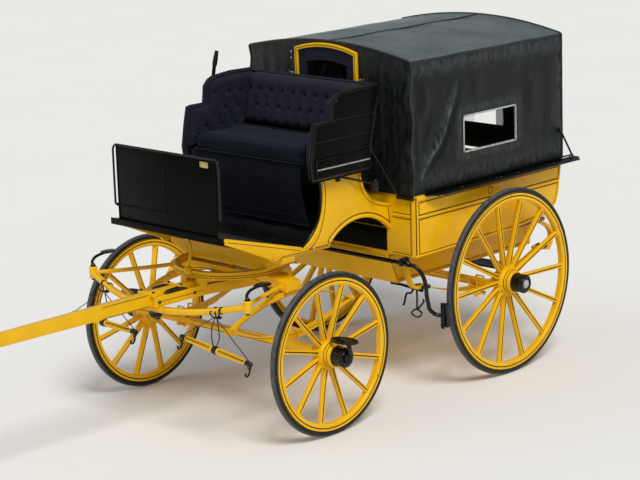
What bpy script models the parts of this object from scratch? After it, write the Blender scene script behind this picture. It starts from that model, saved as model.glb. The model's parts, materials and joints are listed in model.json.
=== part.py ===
"""Horse-drawn wagonette brake with a canvas hood, a box seat and a pair pole.

Metres, +Z up. The carriage faces -Y and its left side is +X. Every size below is measured
from the front axle's centre line; the whole carriage then moves back by FRONT_AXLE_Y so that
the frame's origin lies on the ground under the middle of its bounding box.
"""
import bmesh
import bpy
import math
from mathutils import Vector

GAP = 0.0003
CLEAR = 0.005

# Running gear
POLE_TIP = 3.20
TAIL = 2.36
FRONT_AXLE_Y = (POLE_TIP - TAIL) / 2
WHEELBASE = 1.519
FRONT_RADIUS = 0.457
REAR_RADIUS = 0.559
FRONT_TRACK_HALF = 0.753
TYRE_WIDTH = 0.038
TYRE_DEPTH = 0.028
FELLOE_DEPTH = 0.044
FELLOE_WIDTH = 0.042
FRONT_SPOKES = 12
REAR_SPOKES = 14
SPOKE_WIDTH = 0.028
DISH = 0.033
NAVE_RADIUS = 0.082
ARM_RADIUS = 0.021
BORE_RADIUS = 0.0216
AXLE_HALF = 0.022

# Passenger body
BODY_HALF = 0.645
REAR_TRACK_HALF = BODY_HALF + 0.125
WALL = 0.022
BODY_FRONT = 0.83
BODY_REAR = 2.152
SILL = REAR_RADIUS + 0.251
RAIL = 2 * REAR_RADIUS + 0.052
FLOOR_LOW = SILL
FLOOR_TOP = FLOOR_LOW + 0.022
WELL_HALF = BODY_HALF - 0.225
WELL_BOTTOM = SILL - 0.195
WELL_FRONT_TOP = BODY_FRONT - 0.005
WELL_FRONT_LOW = BODY_FRONT + 0.085
DOOR_HALF = 0.29
DOOR_SILL = WELL_BOTTOM + 0.03
HINGE_X = DOOR_HALF + 0.004
HINGE_Y = BODY_REAR + 0.008
HINGE_RADIUS = 0.007
HINGE_LENGTH = 0.050
HINGE_HEIGHTS = (DOOR_SILL + 0.095, RAIL - 0.11)
WING_BOARD_WIDTH = 0.08

# Hood
HOOD_FRONT = BODY_FRONT - 0.01
HOOD_REAR = BODY_REAR + 0.038
HOOD_SIDE_TOP = RAIL + 0.775
HOOD_CROWN = HOOD_SIDE_TOP + 0.071
HOOD_WALL = 0.014
WINDOW_FRONT = 1.27
WINDOW_REAR = 1.745
WINDOW_LOW = RAIL + 0.19
WINDOW_HIGH = WINDOW_LOW + 0.21
REAR_WINDOW_HALF = 0.14
REAR_WINDOW_LOW = RAIL + 0.15
REAR_WINDOW_HIGH = RAIL + 0.40
ARCH_CENTRE_Z = RAIL + 0.03

# Box seat and boot
BOOT_HALF = BODY_HALF - 0.19
BOOT_WALL = 0.025
BOOT_TOP = 1.341
ARCH_Y = 0.575
ARCH_Z = 0.715
ARCH_RADIUS = 0.353
SEAT_HALF = BOOT_HALF + 0.065
SEAT_WALL = 0.02
FLANK_THICK = 0.060
CUSHION_LOW = 1.44
CUSHION_HIGH = 1.53
FLOORBOARD_FRONT = -0.457
FLOORBOARD_Z = 1.136
FLOORBOARD_SLOPE = -0.272
BOARD = 0.022
DASH_Y = -0.47
DASH_HALF = 0.425
DASH_HIGH = 1.571
DASH_LEDGE = 1.225
ROD = 0.006

# Fore-carriage
RING_RADIUS = 0.31
RING_WIDTH = 0.03
RING_LOW = 0.838
RING_DEPTH = 0.019
KINGPIN_RADIUS = 0.016
SPRING_X = 0.42
SPRING_WIDTH = 0.045
SPRING_Y = 0.035
SPRING_HALF = 0.474
SPRING_EYE_Z = 0.616
SPRING_TOP = 0.764
BED_END_TOP = 0.812
BED_LOW = 0.7985
POLE_TOP = 0.817
POLE_DEPTH = 0.075
POLE_HALF = 0.034
BAR_HALF = 0.627
BAR_Y = -0.49
BAR_Z = 0.806
TREE_X = 0.455
TREE_Y = -0.575
TREE_Z = 0.556
TREE_HALF = 0.275
TREE_PIN_DROP = 0.040
PIN_RADIUS = 0.006

# Rear springs
REAR_SPRING_X = BODY_HALF - 0.13
REAR_BED_TOP = REAR_RADIUS - 0.019
REAR_EYE_FRONT = (1.055, REAR_BED_TOP + 0.045)
REAR_EYE_REAR = (2.10, REAR_BED_TOP + 0.072)
REAR_BED_DEPTH = 0.040
REAR_SPRING_THICK = 0.034

# Brake
BRAKE_SHAFT_Y = BODY_FRONT - 0.035
BRAKE_SHAFT_Z = SILL - 0.028
BRAKE_SHAFT_HALF = BODY_HALF - 0.04
BLOCK_Z = REAR_RADIUS - 0.084
BLOCK_HALF_HEIGHT = 0.07
LEVER_X = -BOOT_HALF - 0.085
LINK_Z = 2 * FRONT_RADIUS + 0.031


def clear_scene():
    for item in list(bpy.data.objects):
        bpy.data.objects.remove(item, do_unlink=True)


def material(name, colour, roughness, metallic=0.0):
    made = bpy.data.materials.new(name)
    made.use_nodes = True
    shader = made.node_tree.nodes["Principled BSDF"]
    shader.inputs["Base Color"].default_value = (*colour, 1.0)
    shader.inputs["Roughness"].default_value = roughness
    shader.inputs["Metallic"].default_value = metallic
    made.diffuse_color = (*colour, 1.0)
    return made


YELLOW = ("yellow_paint", (0.86, 0.50, 0.015), 0.3, 0.0)
BLACK_PAINT = ("black_paint", (0.012, 0.012, 0.013), 0.25, 0.0)
IRON = ("black_iron", (0.015, 0.015, 0.016), 0.35, 0.6)
RUBBER = ("tyre_rubber", (0.05, 0.052, 0.056), 0.8, 0.0)
CLOTH = ("blue_cloth", (0.022, 0.026, 0.06), 0.95, 0.0)
CANVAS = ("black_canvas", (0.02, 0.021, 0.024), 0.6, 0.0)
MAT = ("rubber_mat", (0.03, 0.03, 0.034), 0.7, 0.0)
WOOD = ("inner_wood", (0.20, 0.11, 0.04), 0.5, 0.0)


def closed(mesh):
    bmesh.ops.remove_doubles(mesh, verts=mesh.verts, dist=0.000001)
    bmesh.ops.recalc_face_normals(mesh, faces=mesh.faces)
    return mesh


def prism(outline, axis, low, high):
    """Closed solid: an outline in the plane square to axis, drawn out from low to high.

    The outline is (y, z) for axis x, (x, z) for axis y and (x, y) for axis z.
    """
    mesh = bmesh.new()
    order = {"x": lambda a, b, c: (c, a, b), "y": lambda a, b, c: (a, c, b), "z": lambda a, b, c: (a, b, c)}
    place = order[axis]
    ends = [[mesh.verts.new(place(a, b, level)) for a, b in outline] for level in (low, high)]
    mesh.faces.new(ends[0])
    mesh.faces.new(ends[1])
    count = len(outline)
    for i in range(count):
        j = (i + 1) % count
        mesh.faces.new((ends[0][i], ends[0][j], ends[1][j], ends[1][i]))
    return closed(mesh)


def block(x0, x1, y0, y1, z0, z1):
    return prism([(x0, y0), (x1, y0), (x1, y1), (x0, y1)], "z", z0, z1)


def turned(profile, axis, centre, segments, ring=False):
    """Turn a profile of (along, radius) points about an axis through centre.

    A ring profile is a closed loop; otherwise both ends close on the axis.
    """
    mesh = bmesh.new()
    along = {"x": Vector((1, 0, 0)), "y": Vector((0, 1, 0)), "z": Vector((0, 0, 1))}[axis]
    first = {"x": Vector((0, 1, 0)), "y": Vector((0, 0, 1)), "z": Vector((1, 0, 0))}[axis]
    second = along.cross(first)
    middle = Vector(centre)
    rows = []
    for position, radius in profile:
        base = middle + along * position
        if radius == 0:
            rows.append([mesh.verts.new(base)] * segments)
            continue
        row = []
        for step in range(segments):
            angle = 2 * math.pi * step / segments
            row.append(mesh.verts.new(base + radius * (first * math.cos(angle) + second * math.sin(angle))))
        rows.append(row)
    if ring:
        rows.append(rows[0])
    for row, after in zip(rows, rows[1:]):
        for i in range(segments):
            j = (i + 1) % segments
            corners = []
            for vert in (row[i], row[j], after[j], after[i]):
                if vert not in corners:
                    corners.append(vert)
            if len(corners) > 2:
                mesh.faces.new(corners)
    return closed(mesh)


def cylinder(axis, centre, radius, low, high, segments=16):
    return turned([(low, 0), (low, radius), (high, radius), (high, 0)], axis, centre, segments)


def round_section(radius, sides=8):
    turn = [2 * math.pi * (i + 0.5) / sides for i in range(sides)]
    return [(radius * math.cos(a), radius * math.sin(a)) for a in turn]


def flat_section(width, depth):
    return [(-width / 2, -depth / 2), (width / 2, -depth / 2), (width / 2, depth / 2), (-width / 2, depth / 2)]


def swept(points, section, side=None):
    """Closed bar along points. side is the direction that the section's first axis keeps."""
    path = [Vector(p) for p in points]
    mesh = bmesh.new()
    rows = []
    across = None
    for i, point in enumerate(path):
        before = path[max(i - 1, 0)]
        after = path[min(i + 1, len(path) - 1)]
        here = (point - before).normalized() + (after - point).normalized()
        here.normalize()
        wanted = Vector(side) if side else (across or Vector((0, 0, 1)).cross(here))
        if wanted.length < 0.01:
            wanted = Vector((1, 0, 0))
        across = (wanted - here * wanted.dot(here)).normalized()
        upward = here.cross(across)
        rows.append([mesh.verts.new(point + across * a + upward * b) for a, b in section])
    for row, after in zip(rows, rows[1:]):
        for i in range(len(section)):
            j = (i + 1) % len(section)
            mesh.faces.new((row[i], row[j], after[j], after[i]))
    mesh.faces.new(rows[0])
    mesh.faces.new(rows[-1])
    return closed(mesh)


def bezier(start, handle, end, steps):
    """Points of a quadratic curve, both ends included."""
    points = []
    for i in range(steps + 1):
        t = i / steps
        shares = ((1 - t) ** 2, 2 * t * (1 - t), t * t)
        points.append(tuple(sum(share * value for share, value in zip(shares, part))
                            for part in zip(start, handle, end)))
    return points


def arc(centre, radius, start, stop, steps):
    """Points of a circle from start to stop degrees, both ends included."""
    turn = [math.radians(start + (stop - start) * i / steps) for i in range(steps + 1)]
    return [(centre[0] + radius * math.cos(a), centre[1] + radius * math.sin(a)) for a in turn]


def mirrored(points):
    """The points with their x turned to the other side, in the opposite order."""
    return [(-p[0], *p[1:]) for p in reversed(points)]


def make_object(name, mesh, origin=(0, 0, 0)):
    offset = Vector(origin)
    bmesh.ops.translate(mesh, verts=mesh.verts, vec=-offset)
    data = bpy.data.meshes.new(name)
    mesh.to_mesh(data)
    mesh.free()
    made = bpy.data.objects.new(name, data)
    made.location = offset + Vector((0, FRONT_AXLE_Y, 0))
    bpy.context.scene.collection.objects.link(made)
    return made


def solid(name, finish, base, add=(), cut=(), origin=(0, 0, 0)):
    """One named sub-part: a base mesh, with meshes joined to it and cut from it."""
    made = make_object(name, base, origin)
    made.data.materials.append(material(f"{name}_{finish[0]}", *finish[1:]))
    steps = [("UNION", piece) for piece in add] + [("DIFFERENCE", piece) for piece in cut]
    for number, (operation, piece) in enumerate(steps):
        helper = make_object(f"{name}_helper_{number}", piece, origin)
        helper.hide_render = True
        helper.display_type = "WIRE"
        helper.parent = made
        helper.location = (0, 0, 0)
        change = made.modifiers.new(f"{operation.lower()}_{number}", "BOOLEAN")
        change.operation = operation
        change.solver = "EXACT"
        change.object = helper
    made.data.shade_smooth()
    made.data.set_sharp_from_angle(angle=math.radians(30))
    return made


def merge(*meshes):
    """One mesh that holds several solids which don't touch."""
    whole = bmesh.new()
    for mesh in meshes:
        data = bpy.data.meshes.new("merging")
        mesh.to_mesh(data)
        mesh.free()
        whole.from_mesh(data)
        bpy.data.meshes.remove(data)
    return whole


def side_name(side):
    return "left" if side > 0 else "right"


def span(side, near, far):
    """Low and high x of a piece that lies between near and far on one side."""
    return (near, far) if side > 0 else (-far, -near)


# Wheels

def felloe_outer(radius):
    return radius - TYRE_DEPTH


def wheel(name, side, radius, track, axle_y, spokes, open_cap):
    """Nave, spokes and felloe as one turned and spoked solid, and the tyre round it."""
    centre = (side * track, axle_y, radius)
    rim = felloe_outer(radius)
    half = FELLOE_WIDTH / 2
    nave_x = -DISH
    felloe = turned([(-half, rim - FELLOE_DEPTH), (half, rim - FELLOE_DEPTH), (half, rim), (-half, rim)],
                    "x", centre, 48, ring=True)
    cap_end = 0.127
    profile = [(nave_x - 0.066, 0.048), (nave_x - 0.040, 0.066), (nave_x - 0.030, NAVE_RADIUS),
               (nave_x + 0.030, NAVE_RADIUS), (nave_x + 0.045, 0.072), (nave_x + 0.080, 0.066),
               (nave_x + 0.081, 0.056), (cap_end - 0.012, 0.056), (cap_end - 0.010, 0.045), (cap_end, 0.042)]
    if open_cap:
        bored = profile + [(cap_end, BORE_RADIUS), (nave_x - 0.066, BORE_RADIUS)]
    else:
        bored = profile + [(cap_end, 0.0), (cap_end - 0.012, 0.0), (cap_end - 0.012, BORE_RADIUS),
                           (nave_x - 0.066, BORE_RADIUS)]
    if side < 0:
        bored = [(-along, size) for along, size in bored]
    nave = turned(bored, "x", centre, 24, ring=True)
    spoke_set = []
    for number in range(spokes):
        turn = 2 * math.pi * (number + 0.5) / spokes
        outward = Vector((0, math.sin(turn), math.cos(turn)))
        inner = Vector(centre) + Vector((side * nave_x, 0, 0)) + outward * (NAVE_RADIUS - 0.012)
        outer = Vector(centre) + outward * (rim - FELLOE_DEPTH + 0.012)
        spoke_set.append(swept([inner, outer], flat_section(0.034, SPOKE_WIDTH), side=(1, 0, 0)))
    solid(f"{name}_wheel", YELLOW, merge(nave, felloe), add=[merge(*spoke_set)], origin=centre)
    wide = TYRE_WIDTH / 2
    tread = [(-wide, rim + GAP), (wide, rim + GAP), (wide, radius - 0.010), (wide - 0.009, radius),
             (-wide + 0.009, radius), (-wide, radius - 0.010)]
    solid(f"{name}_tyre", RUBBER, turned(tread, "x", centre, 48, ring=True), origin=centre)


def wheels():
    for side in (1, -1):
        wheel(f"front_{side_name(side)}", side, FRONT_RADIUS, FRONT_TRACK_HALF, 0, FRONT_SPOKES, True)
        wheel(f"rear_{side_name(side)}", side, REAR_RADIUS, REAR_TRACK_HALF, WHEELBASE, REAR_SPOKES, False)


# Axles

def nave_inner(track):
    return track - DISH - 0.066


def front_axle():
    inner = nave_inner(FRONT_TRACK_HALF) - 0.004
    beam = block(-inner, inner, -AXLE_HALF, AXLE_HALF, FRONT_RADIUS - AXLE_HALF, FRONT_RADIUS + AXLE_HALF)
    arm_end = FRONT_TRACK_HALF + 0.155
    arms = []
    for side in (1, -1):
        low, high = sorted((side * (inner - 0.01), side * arm_end))
        arms.append(cylinder("x", (0, 0, FRONT_RADIUS), ARM_RADIUS, low, high, 16))
        upright = side * (arm_end - 0.006)
        stalk = [(upright, 0, FRONT_RADIUS), (upright, 0, FRONT_RADIUS + 0.07),
                 (side * (arm_end - 0.030), 0, FRONT_RADIUS + 0.092)]
        arms.append(swept(stalk, flat_section(0.024, 0.010), side=(0, 1, 0)))
        middle = side * (arm_end - 0.0505)
        tread_z = FRONT_RADIUS + 0.088
        oval = [(middle + 0.093 * x, 0.055 * y) for x, y in arc((0, 0), 1, 0, 342, 19)]
        arms.append(prism(oval, "z", tread_z, tread_z + 0.010))
    solid("front_axle", YELLOW, beam, add=arms)


def rear_axle():
    inner = nave_inner(REAR_TRACK_HALF) - 0.004
    low = REAR_BED_TOP - REAR_BED_DEPTH
    step_in = inner - 0.045
    lower = [(-inner, REAR_RADIUS - 0.02), (-step_in, low), (step_in, low), (inner, REAR_RADIUS - 0.02)]
    upper = [(inner, REAR_RADIUS + 0.02), (step_in, REAR_BED_TOP)]
    upper += mirrored(upper)
    beam = prism(lower + upper, "y", WHEELBASE - 0.02, WHEELBASE + 0.02)
    arms = []
    for side in (1, -1):
        arm_end = REAR_TRACK_HALF + 0.127 - 0.012 - 0.001
        start, stop = sorted((side * (inner - 0.01), side * arm_end))
        arms.append(cylinder("x", (0, WHEELBASE, REAR_RADIUS), ARM_RADIUS, start, stop, 16))
    solid("rear_axle", YELLOW, beam, add=arms)


# Springs

def leaf_outline(front, rear, dip, thick, steps=10):
    """A leaf from eye to eye whose middle lies dip below the line of its eyes."""
    upper = []
    lower = []
    for i in range(steps + 1):
        t = i / steps
        y = front[0] + (rear[0] - front[0]) * t
        z = front[1] + (rear[1] - front[1]) * t - dip * 4 * t * (1 - t)
        part = thick * (0.34 + 0.66 * min(1.0, 2.2 * min(t, 1 - t)))
        upper.append((y, z + part / 2))
        lower.append((y, z - part / 2))
    return upper + lower[::-1]


def front_springs():
    thick = 0.034
    axle_top = FRONT_RADIUS + AXLE_HALF
    for side in (1, -1):
        x0, x1 = span(side, SPRING_X - SPRING_WIDTH / 2, SPRING_X + SPRING_WIDTH / 2)
        front = (SPRING_Y - SPRING_HALF, SPRING_EYE_Z)
        rear = (SPRING_Y + SPRING_HALF, SPRING_EYE_Z)
        rise = SPRING_TOP - thick / 2 - SPRING_EYE_Z
        drop = SPRING_EYE_Z - axle_top - 0.002 - thick / 2
        top = prism(leaf_outline(front, rear, -rise, thick), "x", x0, x1)
        low = prism(leaf_outline(front, rear, drop, thick), "x", x0, x1)
        eyes = [cylinder("x", (0, y, SPRING_EYE_Z), 0.016, x0 - 0.004, x1 + 0.004, 12)
                for y in (front[0], rear[0])]
        pad = block(x0, x1, -0.030, SPRING_Y + 0.030, axle_top + GAP, axle_top + 0.020)
        solid(f"front_spring_{side_name(side)}", YELLOW, top, add=[low, *eyes, pad])


def rear_springs():
    thick = REAR_SPRING_THICK
    seat = REAR_BED_TOP - REAR_BED_DEPTH - GAP
    share = (WHEELBASE - REAR_EYE_FRONT[0]) / (REAR_EYE_REAR[0] - REAR_EYE_FRONT[0])
    level = REAR_EYE_FRONT[1] + (REAR_EYE_REAR[1] - REAR_EYE_FRONT[1]) * share
    dip = (level - (seat - 0.004 - thick / 2)) / (4 * share * (1 - share))
    for side in (1, -1):
        x0, x1 = span(side, REAR_SPRING_X - 0.024, REAR_SPRING_X + 0.024)
        leaf = prism(leaf_outline(REAR_EYE_FRONT, REAR_EYE_REAR, dip, thick), "x", x0, x1)
        eyes = [cylinder("x", (0, y, z), 0.015, x0, x1, 12) for y, z in (REAR_EYE_FRONT, REAR_EYE_REAR)]
        pad = block(x0, x1, WHEELBASE - 0.045, WHEELBASE + 0.045, seat - thick - 0.012, seat)
        solid(f"rear_spring_{side_name(side)}", YELLOW, leaf, add=[*eyes, pad])


def rear_irons():
    """Scroll irons that carry the rear springs, joined by the plate along the sill."""
    top = FLOOR_LOW - GAP
    for side in (1, -1):
        x = side * REAR_SPRING_X
        x0, x1 = x - 0.02, x + 0.02
        plate = block(x0, x1, BODY_FRONT + 0.03, 2.06, top - 0.010, top)
        front_tip = (REAR_EYE_FRONT[0] - 0.015 - GAP, REAR_EYE_FRONT[1])
        eye_y, eye_z = REAR_EYE_FRONT
        front = bezier((0.885, top - 0.006), (0.895, eye_z - 0.010), (eye_y - 0.055, eye_z + 0.005), 7)
        front += [front_tip]
        rear_tip = (REAR_EYE_REAR[0] + 0.015 + GAP, REAR_EYE_REAR[1])
        eye_y, eye_z = REAR_EYE_REAR
        rear = [(2.035, top - 0.0095)]
        rear += bezier((2.10, top - 0.030), (2.315, (top + eye_z) / 2), (eye_y + 0.10, eye_z - 0.022), 7)
        rear += [rear_tip]
        flat = flat_section(0.036, 0.018)
        scrolls = [swept([(x, y, z) for y, z in path], flat, side=(1, 0, 0)) for path in (front, rear)]
        solid(f"rear_iron_{side_name(side)}", YELLOW, plate, add=scrolls)


# Turntable and draught gear

def lower_bed():
    """Arched cross timber on the front springs, with the turntable's lower ring on it."""
    end = SPRING_X + 0.045
    seat = SPRING_TOP + GAP
    top = [(end, BED_END_TOP), (RING_RADIUS + 0.035, RING_LOW)]
    low = [(0.0, BED_LOW)] + bezier((0.20, BED_LOW), (0.27, 0.790), (SPRING_X - 0.05, seat), 4)
    low += [(end, seat)]
    outline = top + mirrored(top) + mirrored(low) + low[1:]
    bed = prism(outline, "y", SPRING_Y - 0.075, SPRING_Y + 0.045)
    half = RING_WIDTH / 2
    profile = [(0, RING_RADIUS - half), (0, RING_RADIUS + half), (RING_DEPTH, RING_RADIUS + half),
               (RING_DEPTH, RING_RADIUS - half)]
    ring = turned(profile, "z", (0, 0, RING_LOW - 0.001), 48, ring=True)
    bore = cylinder("z", (0, 0, 0), KINGPIN_RADIUS + 0.0008, 0.70, 0.95, 16)
    solid("lower_bed", YELLOW, bed, add=[ring], cut=[bore])


def upper_ring():
    """Upper ring and top bed, fixed under the boot, with the kingpin."""
    low = RING_LOW - 0.001 + RING_DEPTH + CLEAR
    half = RING_WIDTH / 2
    profile = [(0, RING_RADIUS - half), (0, RING_RADIUS + half),
               (0.018, RING_RADIUS + half), (0.018, RING_RADIUS - half)]
    ring = turned(profile, "z", (0, 0, low), 48, ring=True)
    top = rocker_low(0.045) - GAP
    outline = [(-BOOT_HALF, top), (-BOOT_HALF, top - 0.03), (-RING_RADIUS, low), (RING_RADIUS, low),
               (BOOT_HALF, top - 0.03), (BOOT_HALF, top)]
    bed = prism(outline, "y", -0.045, 0.045)
    pin = cylinder("z", (0, 0, 0), KINGPIN_RADIUS, 0.780, low + 0.02, 16)
    head = cylinder("z", (0, 0, 0), 0.028, 0.776, BED_LOW - 0.0008, 16)
    hoop = [(0, -0.305, low + 0.008), (0, -0.330, low + 0.05)]
    hoop += bezier((0, -0.310, 0.965), (0, -0.292, 1.035), (-0.07, -0.292, floor_low(-0.292) - 0.012), 4)
    hoop += [(-0.24, -0.292, floor_low(-0.292) - 0.010)]
    solid("upper_ring", YELLOW, ring, add=[bed, pin, head, swept(hoop, round_section(0.008))])


def futchells():
    """Two timbers that hold the pole, bolted under the bed and padded up to the ring."""
    pieces = []
    low, high = 0.7415, BED_LOW - GAP
    for side in (1, -1):
        inner = [(POLE_HALF + GAP, -0.64), (POLE_HALF + GAP, -0.30), (0.095, -0.05), (0.15, 0.29)]
        outer = [(0.185, 0.29), (0.130, -0.05), (0.075, -0.30), (0.070, -0.64)]
        outline = [(side * x, y) for x, y in inner + outer]
        pieces.append(prism(outline, "z", low, high))
    cross = block(-0.18, 0.18, 0.255, 0.285, low, high)
    pads = []
    for side in (1, -1):
        for y0, y1, x0, x1 in ((-0.315, -0.275, 0.040, 0.085), (0.245, 0.285, 0.125, 0.175)):
            near, far = span(side, x0, x1)
            pads.append(block(near, far, y0, y1, high - 0.02, RING_LOW - 0.001 - GAP))
    solid("futchells", YELLOW, cross, add=[merge(*pieces), merge(*pads)])


def pole():
    low = POLE_TOP - POLE_DEPTH
    rear = -0.30
    taper = 0.60
    outline = [(rear, low), (rear, POLE_TOP), (-0.9, POLE_TOP), (-POLE_TIP + 0.05, POLE_TOP - 0.012),
               (-POLE_TIP, POLE_TOP - 0.03), (-POLE_TIP, low + 0.03), (-POLE_TIP + 0.05, low + 0.012),
               (-0.9, low)]
    body = prism(outline, "x", -POLE_HALF, POLE_HALF)
    for vert in body.verts:
        if vert.co.y < -1.0:
            vert.co.x *= taper
    solid("pole", YELLOW, body)


def bar_path():
    half = bezier((0, -0.605, 0.7225), (0.30, -0.60, 0.7225), (BAR_HALF, BAR_Y, BAR_Z), 6)
    return mirrored(half)[:-1] + half


def bar_point(x):
    """Point on the splinter bar's centre line at x."""
    path = bar_path()
    for a, b in zip(path, path[1:]):
        if a[0] <= x <= b[0]:
            share = (x - a[0]) / (b[0] - a[0])
            return tuple(p + (q - p) * share for p, q in zip(a, b))
    return path[-1]


def tree_pin(side):
    """Top of the head of the pin that a swingletree hangs on."""
    x, y, z = bar_point(side * TREE_X)
    return (x, y, z - TREE_PIN_DROP)


def splinter_bar():
    bar = swept(bar_path(), round_section(0.0185, 8))
    pieces = []
    for side in (1, -1):
        x = side * BAR_HALF
        pieces.append(cylinder("z", (x, BAR_Y, 0), 0.024, BAR_Z - 0.034, BAR_Z + 0.034, 16))
        stay_x = side * (SPRING_X + 0.012)
        bed_front = SPRING_Y - 0.075 - GAP
        pieces.append(swept([(x - side * 0.012, BAR_Y, BAR_Z), (stay_x, bed_front - 0.012, 0.795)],
                            round_section(0.012)))
        pieces.append(block(stay_x - 0.018, stay_x + 0.018, bed_front - 0.020, bed_front, 0.780, 0.811))
        pin_x, pin_y, pin_z = tree_pin(side)
        pieces.append(cylinder("z", (pin_x, pin_y, 0), PIN_RADIUS, pin_z - 0.003, pin_z + TREE_PIN_DROP, 12))
        pieces.append(cylinder("z", (pin_x, pin_y, 0), 2 * PIN_RADIUS, pin_z - 0.005, pin_z, 12))
        pieces += step_iron(x)
    solid("splinter_bar", YELLOW, bar, add=pieces)


def step_iron(x):
    """A small tread on a bent stalk that stands on the end of the splinter bar."""
    stalk = [(x, BAR_Y, BAR_Z + 0.020), (x, BAR_Y, BAR_Z + 0.062), (x, BAR_Y + 0.05, BAR_Z + 0.085),
             (x, BAR_Y + 0.13, BAR_Z + 0.095)]
    pad = block(x - 0.035, x + 0.035, BAR_Y + 0.075, BAR_Y + 0.165, BAR_Z + 0.090, BAR_Z + 0.102)
    return [swept(stalk, round_section(0.009)), pad]


def tree_axis(side):
    """Direction along a swingletree, from its middle to its outer end, which hangs lower on the left."""
    fall = -0.115 if side > 0 else 0.036
    return Vector((side, 0, fall)).normalized()


def swingletrees():
    """The bars that the traces pull, each hung by a strap from a pin under the splinter bar."""
    for side in (1, -1):
        pin_x, pin_y, pin_z = tree_pin(side)
        middle = Vector((pin_x, TREE_Y, TREE_Z))
        along = tree_axis(side)
        stations = [(t, 0.020 - 0.007 * abs(t)) for t in (-1, -0.5, 0, 0.5, 1)]
        tree = tapered(stations, middle, along * TREE_HALF, 10)
        plate_low = pin_z + GAP
        plate = block(pin_x - 0.015, pin_x + 0.015, pin_y - 0.026, pin_y + 0.014, plate_low, plate_low + 0.007)
        strap = swept([(pin_x, pin_y - 0.0215, plate_low + 0.004), (pin_x, TREE_Y, TREE_Z)],
                      flat_section(0.028, 0.008), side=(1, 0, 0))
        hooks = []
        for end in (1, -1):
            tip = middle + along * (end * (TREE_HALF - 0.012))
            hook = [tip, tip + Vector((0, -0.004, -0.050)), tip + Vector((0, -0.020, -0.062))]
            hooks.append(swept(hook, round_section(0.006, 6)))
        bore = cylinder("z", (pin_x, pin_y, 0), PIN_RADIUS + 0.0006, pin_z - 0.01, pin_z + 0.02, 12)
        solid(f"swingletree_{side_name(side)}", YELLOW, tree, add=[strap, plate, *hooks], cut=[bore],
              origin=(pin_x, pin_y, TREE_Z))


def tapered(stations, middle, half, sides):
    """Round bar through stations of (share of half, radius) about middle."""
    mesh = bmesh.new()
    across = Vector((0, 1, 0))
    upward = half.normalized().cross(across)
    rows = []
    for share, radius in stations:
        rows.append([mesh.verts.new(middle + half * share + across * a + upward * b)
                     for a, b in round_section(radius, sides)])
    for row, after in zip(rows, rows[1:]):
        for i in range(sides):
            mesh.faces.new((row[i], row[(i + 1) % sides], after[(i + 1) % sides], after[i]))
    mesh.faces.new(rows[0])
    mesh.faces.new(rows[-1])
    return closed(mesh)


# Boot and footboard

def floor_top(y):
    return FLOORBOARD_Z + FLOORBOARD_SLOPE * (y - FLOORBOARD_FRONT)


def floor_low(y):
    return floor_top(y) - BOARD


def rocker_low(y):
    """Lower edge of the boot side's timber near the turntable."""
    return 0.957 - 0.03 * y


def boot_front_curve(steps=8):
    return bezier((0.274, BOOT_TOP), (0.32, 1.08), (0.115, floor_top(0.115)), steps)


def boot_rear_curve(steps=6):
    return bezier((0.593, BOOT_TOP - 0.006), (0.605, 1.15), (BODY_FRONT - GAP, 1.112), steps)


def arch_curve(radius, stop_y, steps=14):
    """The wheel arch from its front foot back to stop_y."""
    first = 180 - math.degrees(math.acos((ARCH_Y - 0.335) / radius))
    last = math.degrees(math.acos((stop_y - ARCH_Y) / radius))
    return arc((ARCH_Y, ARCH_Z), radius, first, last, steps)


def boot_sides():
    rear = BODY_FRONT - GAP
    outline = [(-0.480, floor_top(-0.480)), (-0.470, 1.112), (-0.135, 0.966), (-0.112, 0.942), (-0.085, 0.940),
               (-0.045, rocker_low(-0.045)), (0.325, rocker_low(0.325))]
    outline += arch_curve(ARCH_RADIUS, rear)
    outline += boot_rear_curve()[::-1]
    outline += boot_front_curve()
    for side in (1, -1):
        x0, x1 = span(side, BOOT_HALF - BOOT_WALL, BOOT_HALF)
        solid(f"boot_side_{side_name(side)}", YELLOW, prism(outline, "x", x0, x1))


def offset_curve(points, distance):
    """The points moved sideways by distance, to the left of their direction."""
    moved = []
    for i, point in enumerate(points):
        before = points[max(i - 1, 0)]
        after = points[min(i + 1, len(points) - 1)]
        dy, dz = after[0] - before[0], after[1] - before[1]
        length = math.hypot(dy, dz)
        moved.append((point[0] - dz / length * distance, point[1] + dy / length * distance))
    return moved


def sheet(points, thick):
    """Outline of a sheet that follows points and lies thick to their left."""
    return points + offset_curve(points, thick)[::-1]


def boot_panels():
    inside = BOOT_HALF - BOOT_WALL - GAP
    curve = [(y, min(z, BOOT_TOP - GAP)) for y, z in sheet(boot_front_curve(), 0.014)]
    front = prism(curve, "x", -inside, inside)
    start = (0.114, floor_low(0.114) + 0.004)
    under = [start, (0.335, 0.952)] + arch_curve(ARCH_RADIUS + 0.004, BODY_FRONT - GAP)
    over = [(start[0], start[1] + 0.012), (0.325, 0.964)]
    over += arch_curve(ARCH_RADIUS + 0.016, BODY_FRONT - GAP)
    arch = prism(under + over[::-1], "x", -inside, inside)
    solid("boot_lining", BLACK_PAINT, arch, add=[front])


def footboard():
    inside = BOOT_HALF - BOOT_WALL - GAP
    y0, y1 = -0.480, 0.110
    outline = [(y0, floor_low(y0)), (y1, floor_low(y1)), (y1, floor_top(y1) - GAP), (y0, floor_top(y0) - GAP)]
    solid("footboard", MAT, prism(outline, "x", -inside, inside))


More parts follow.
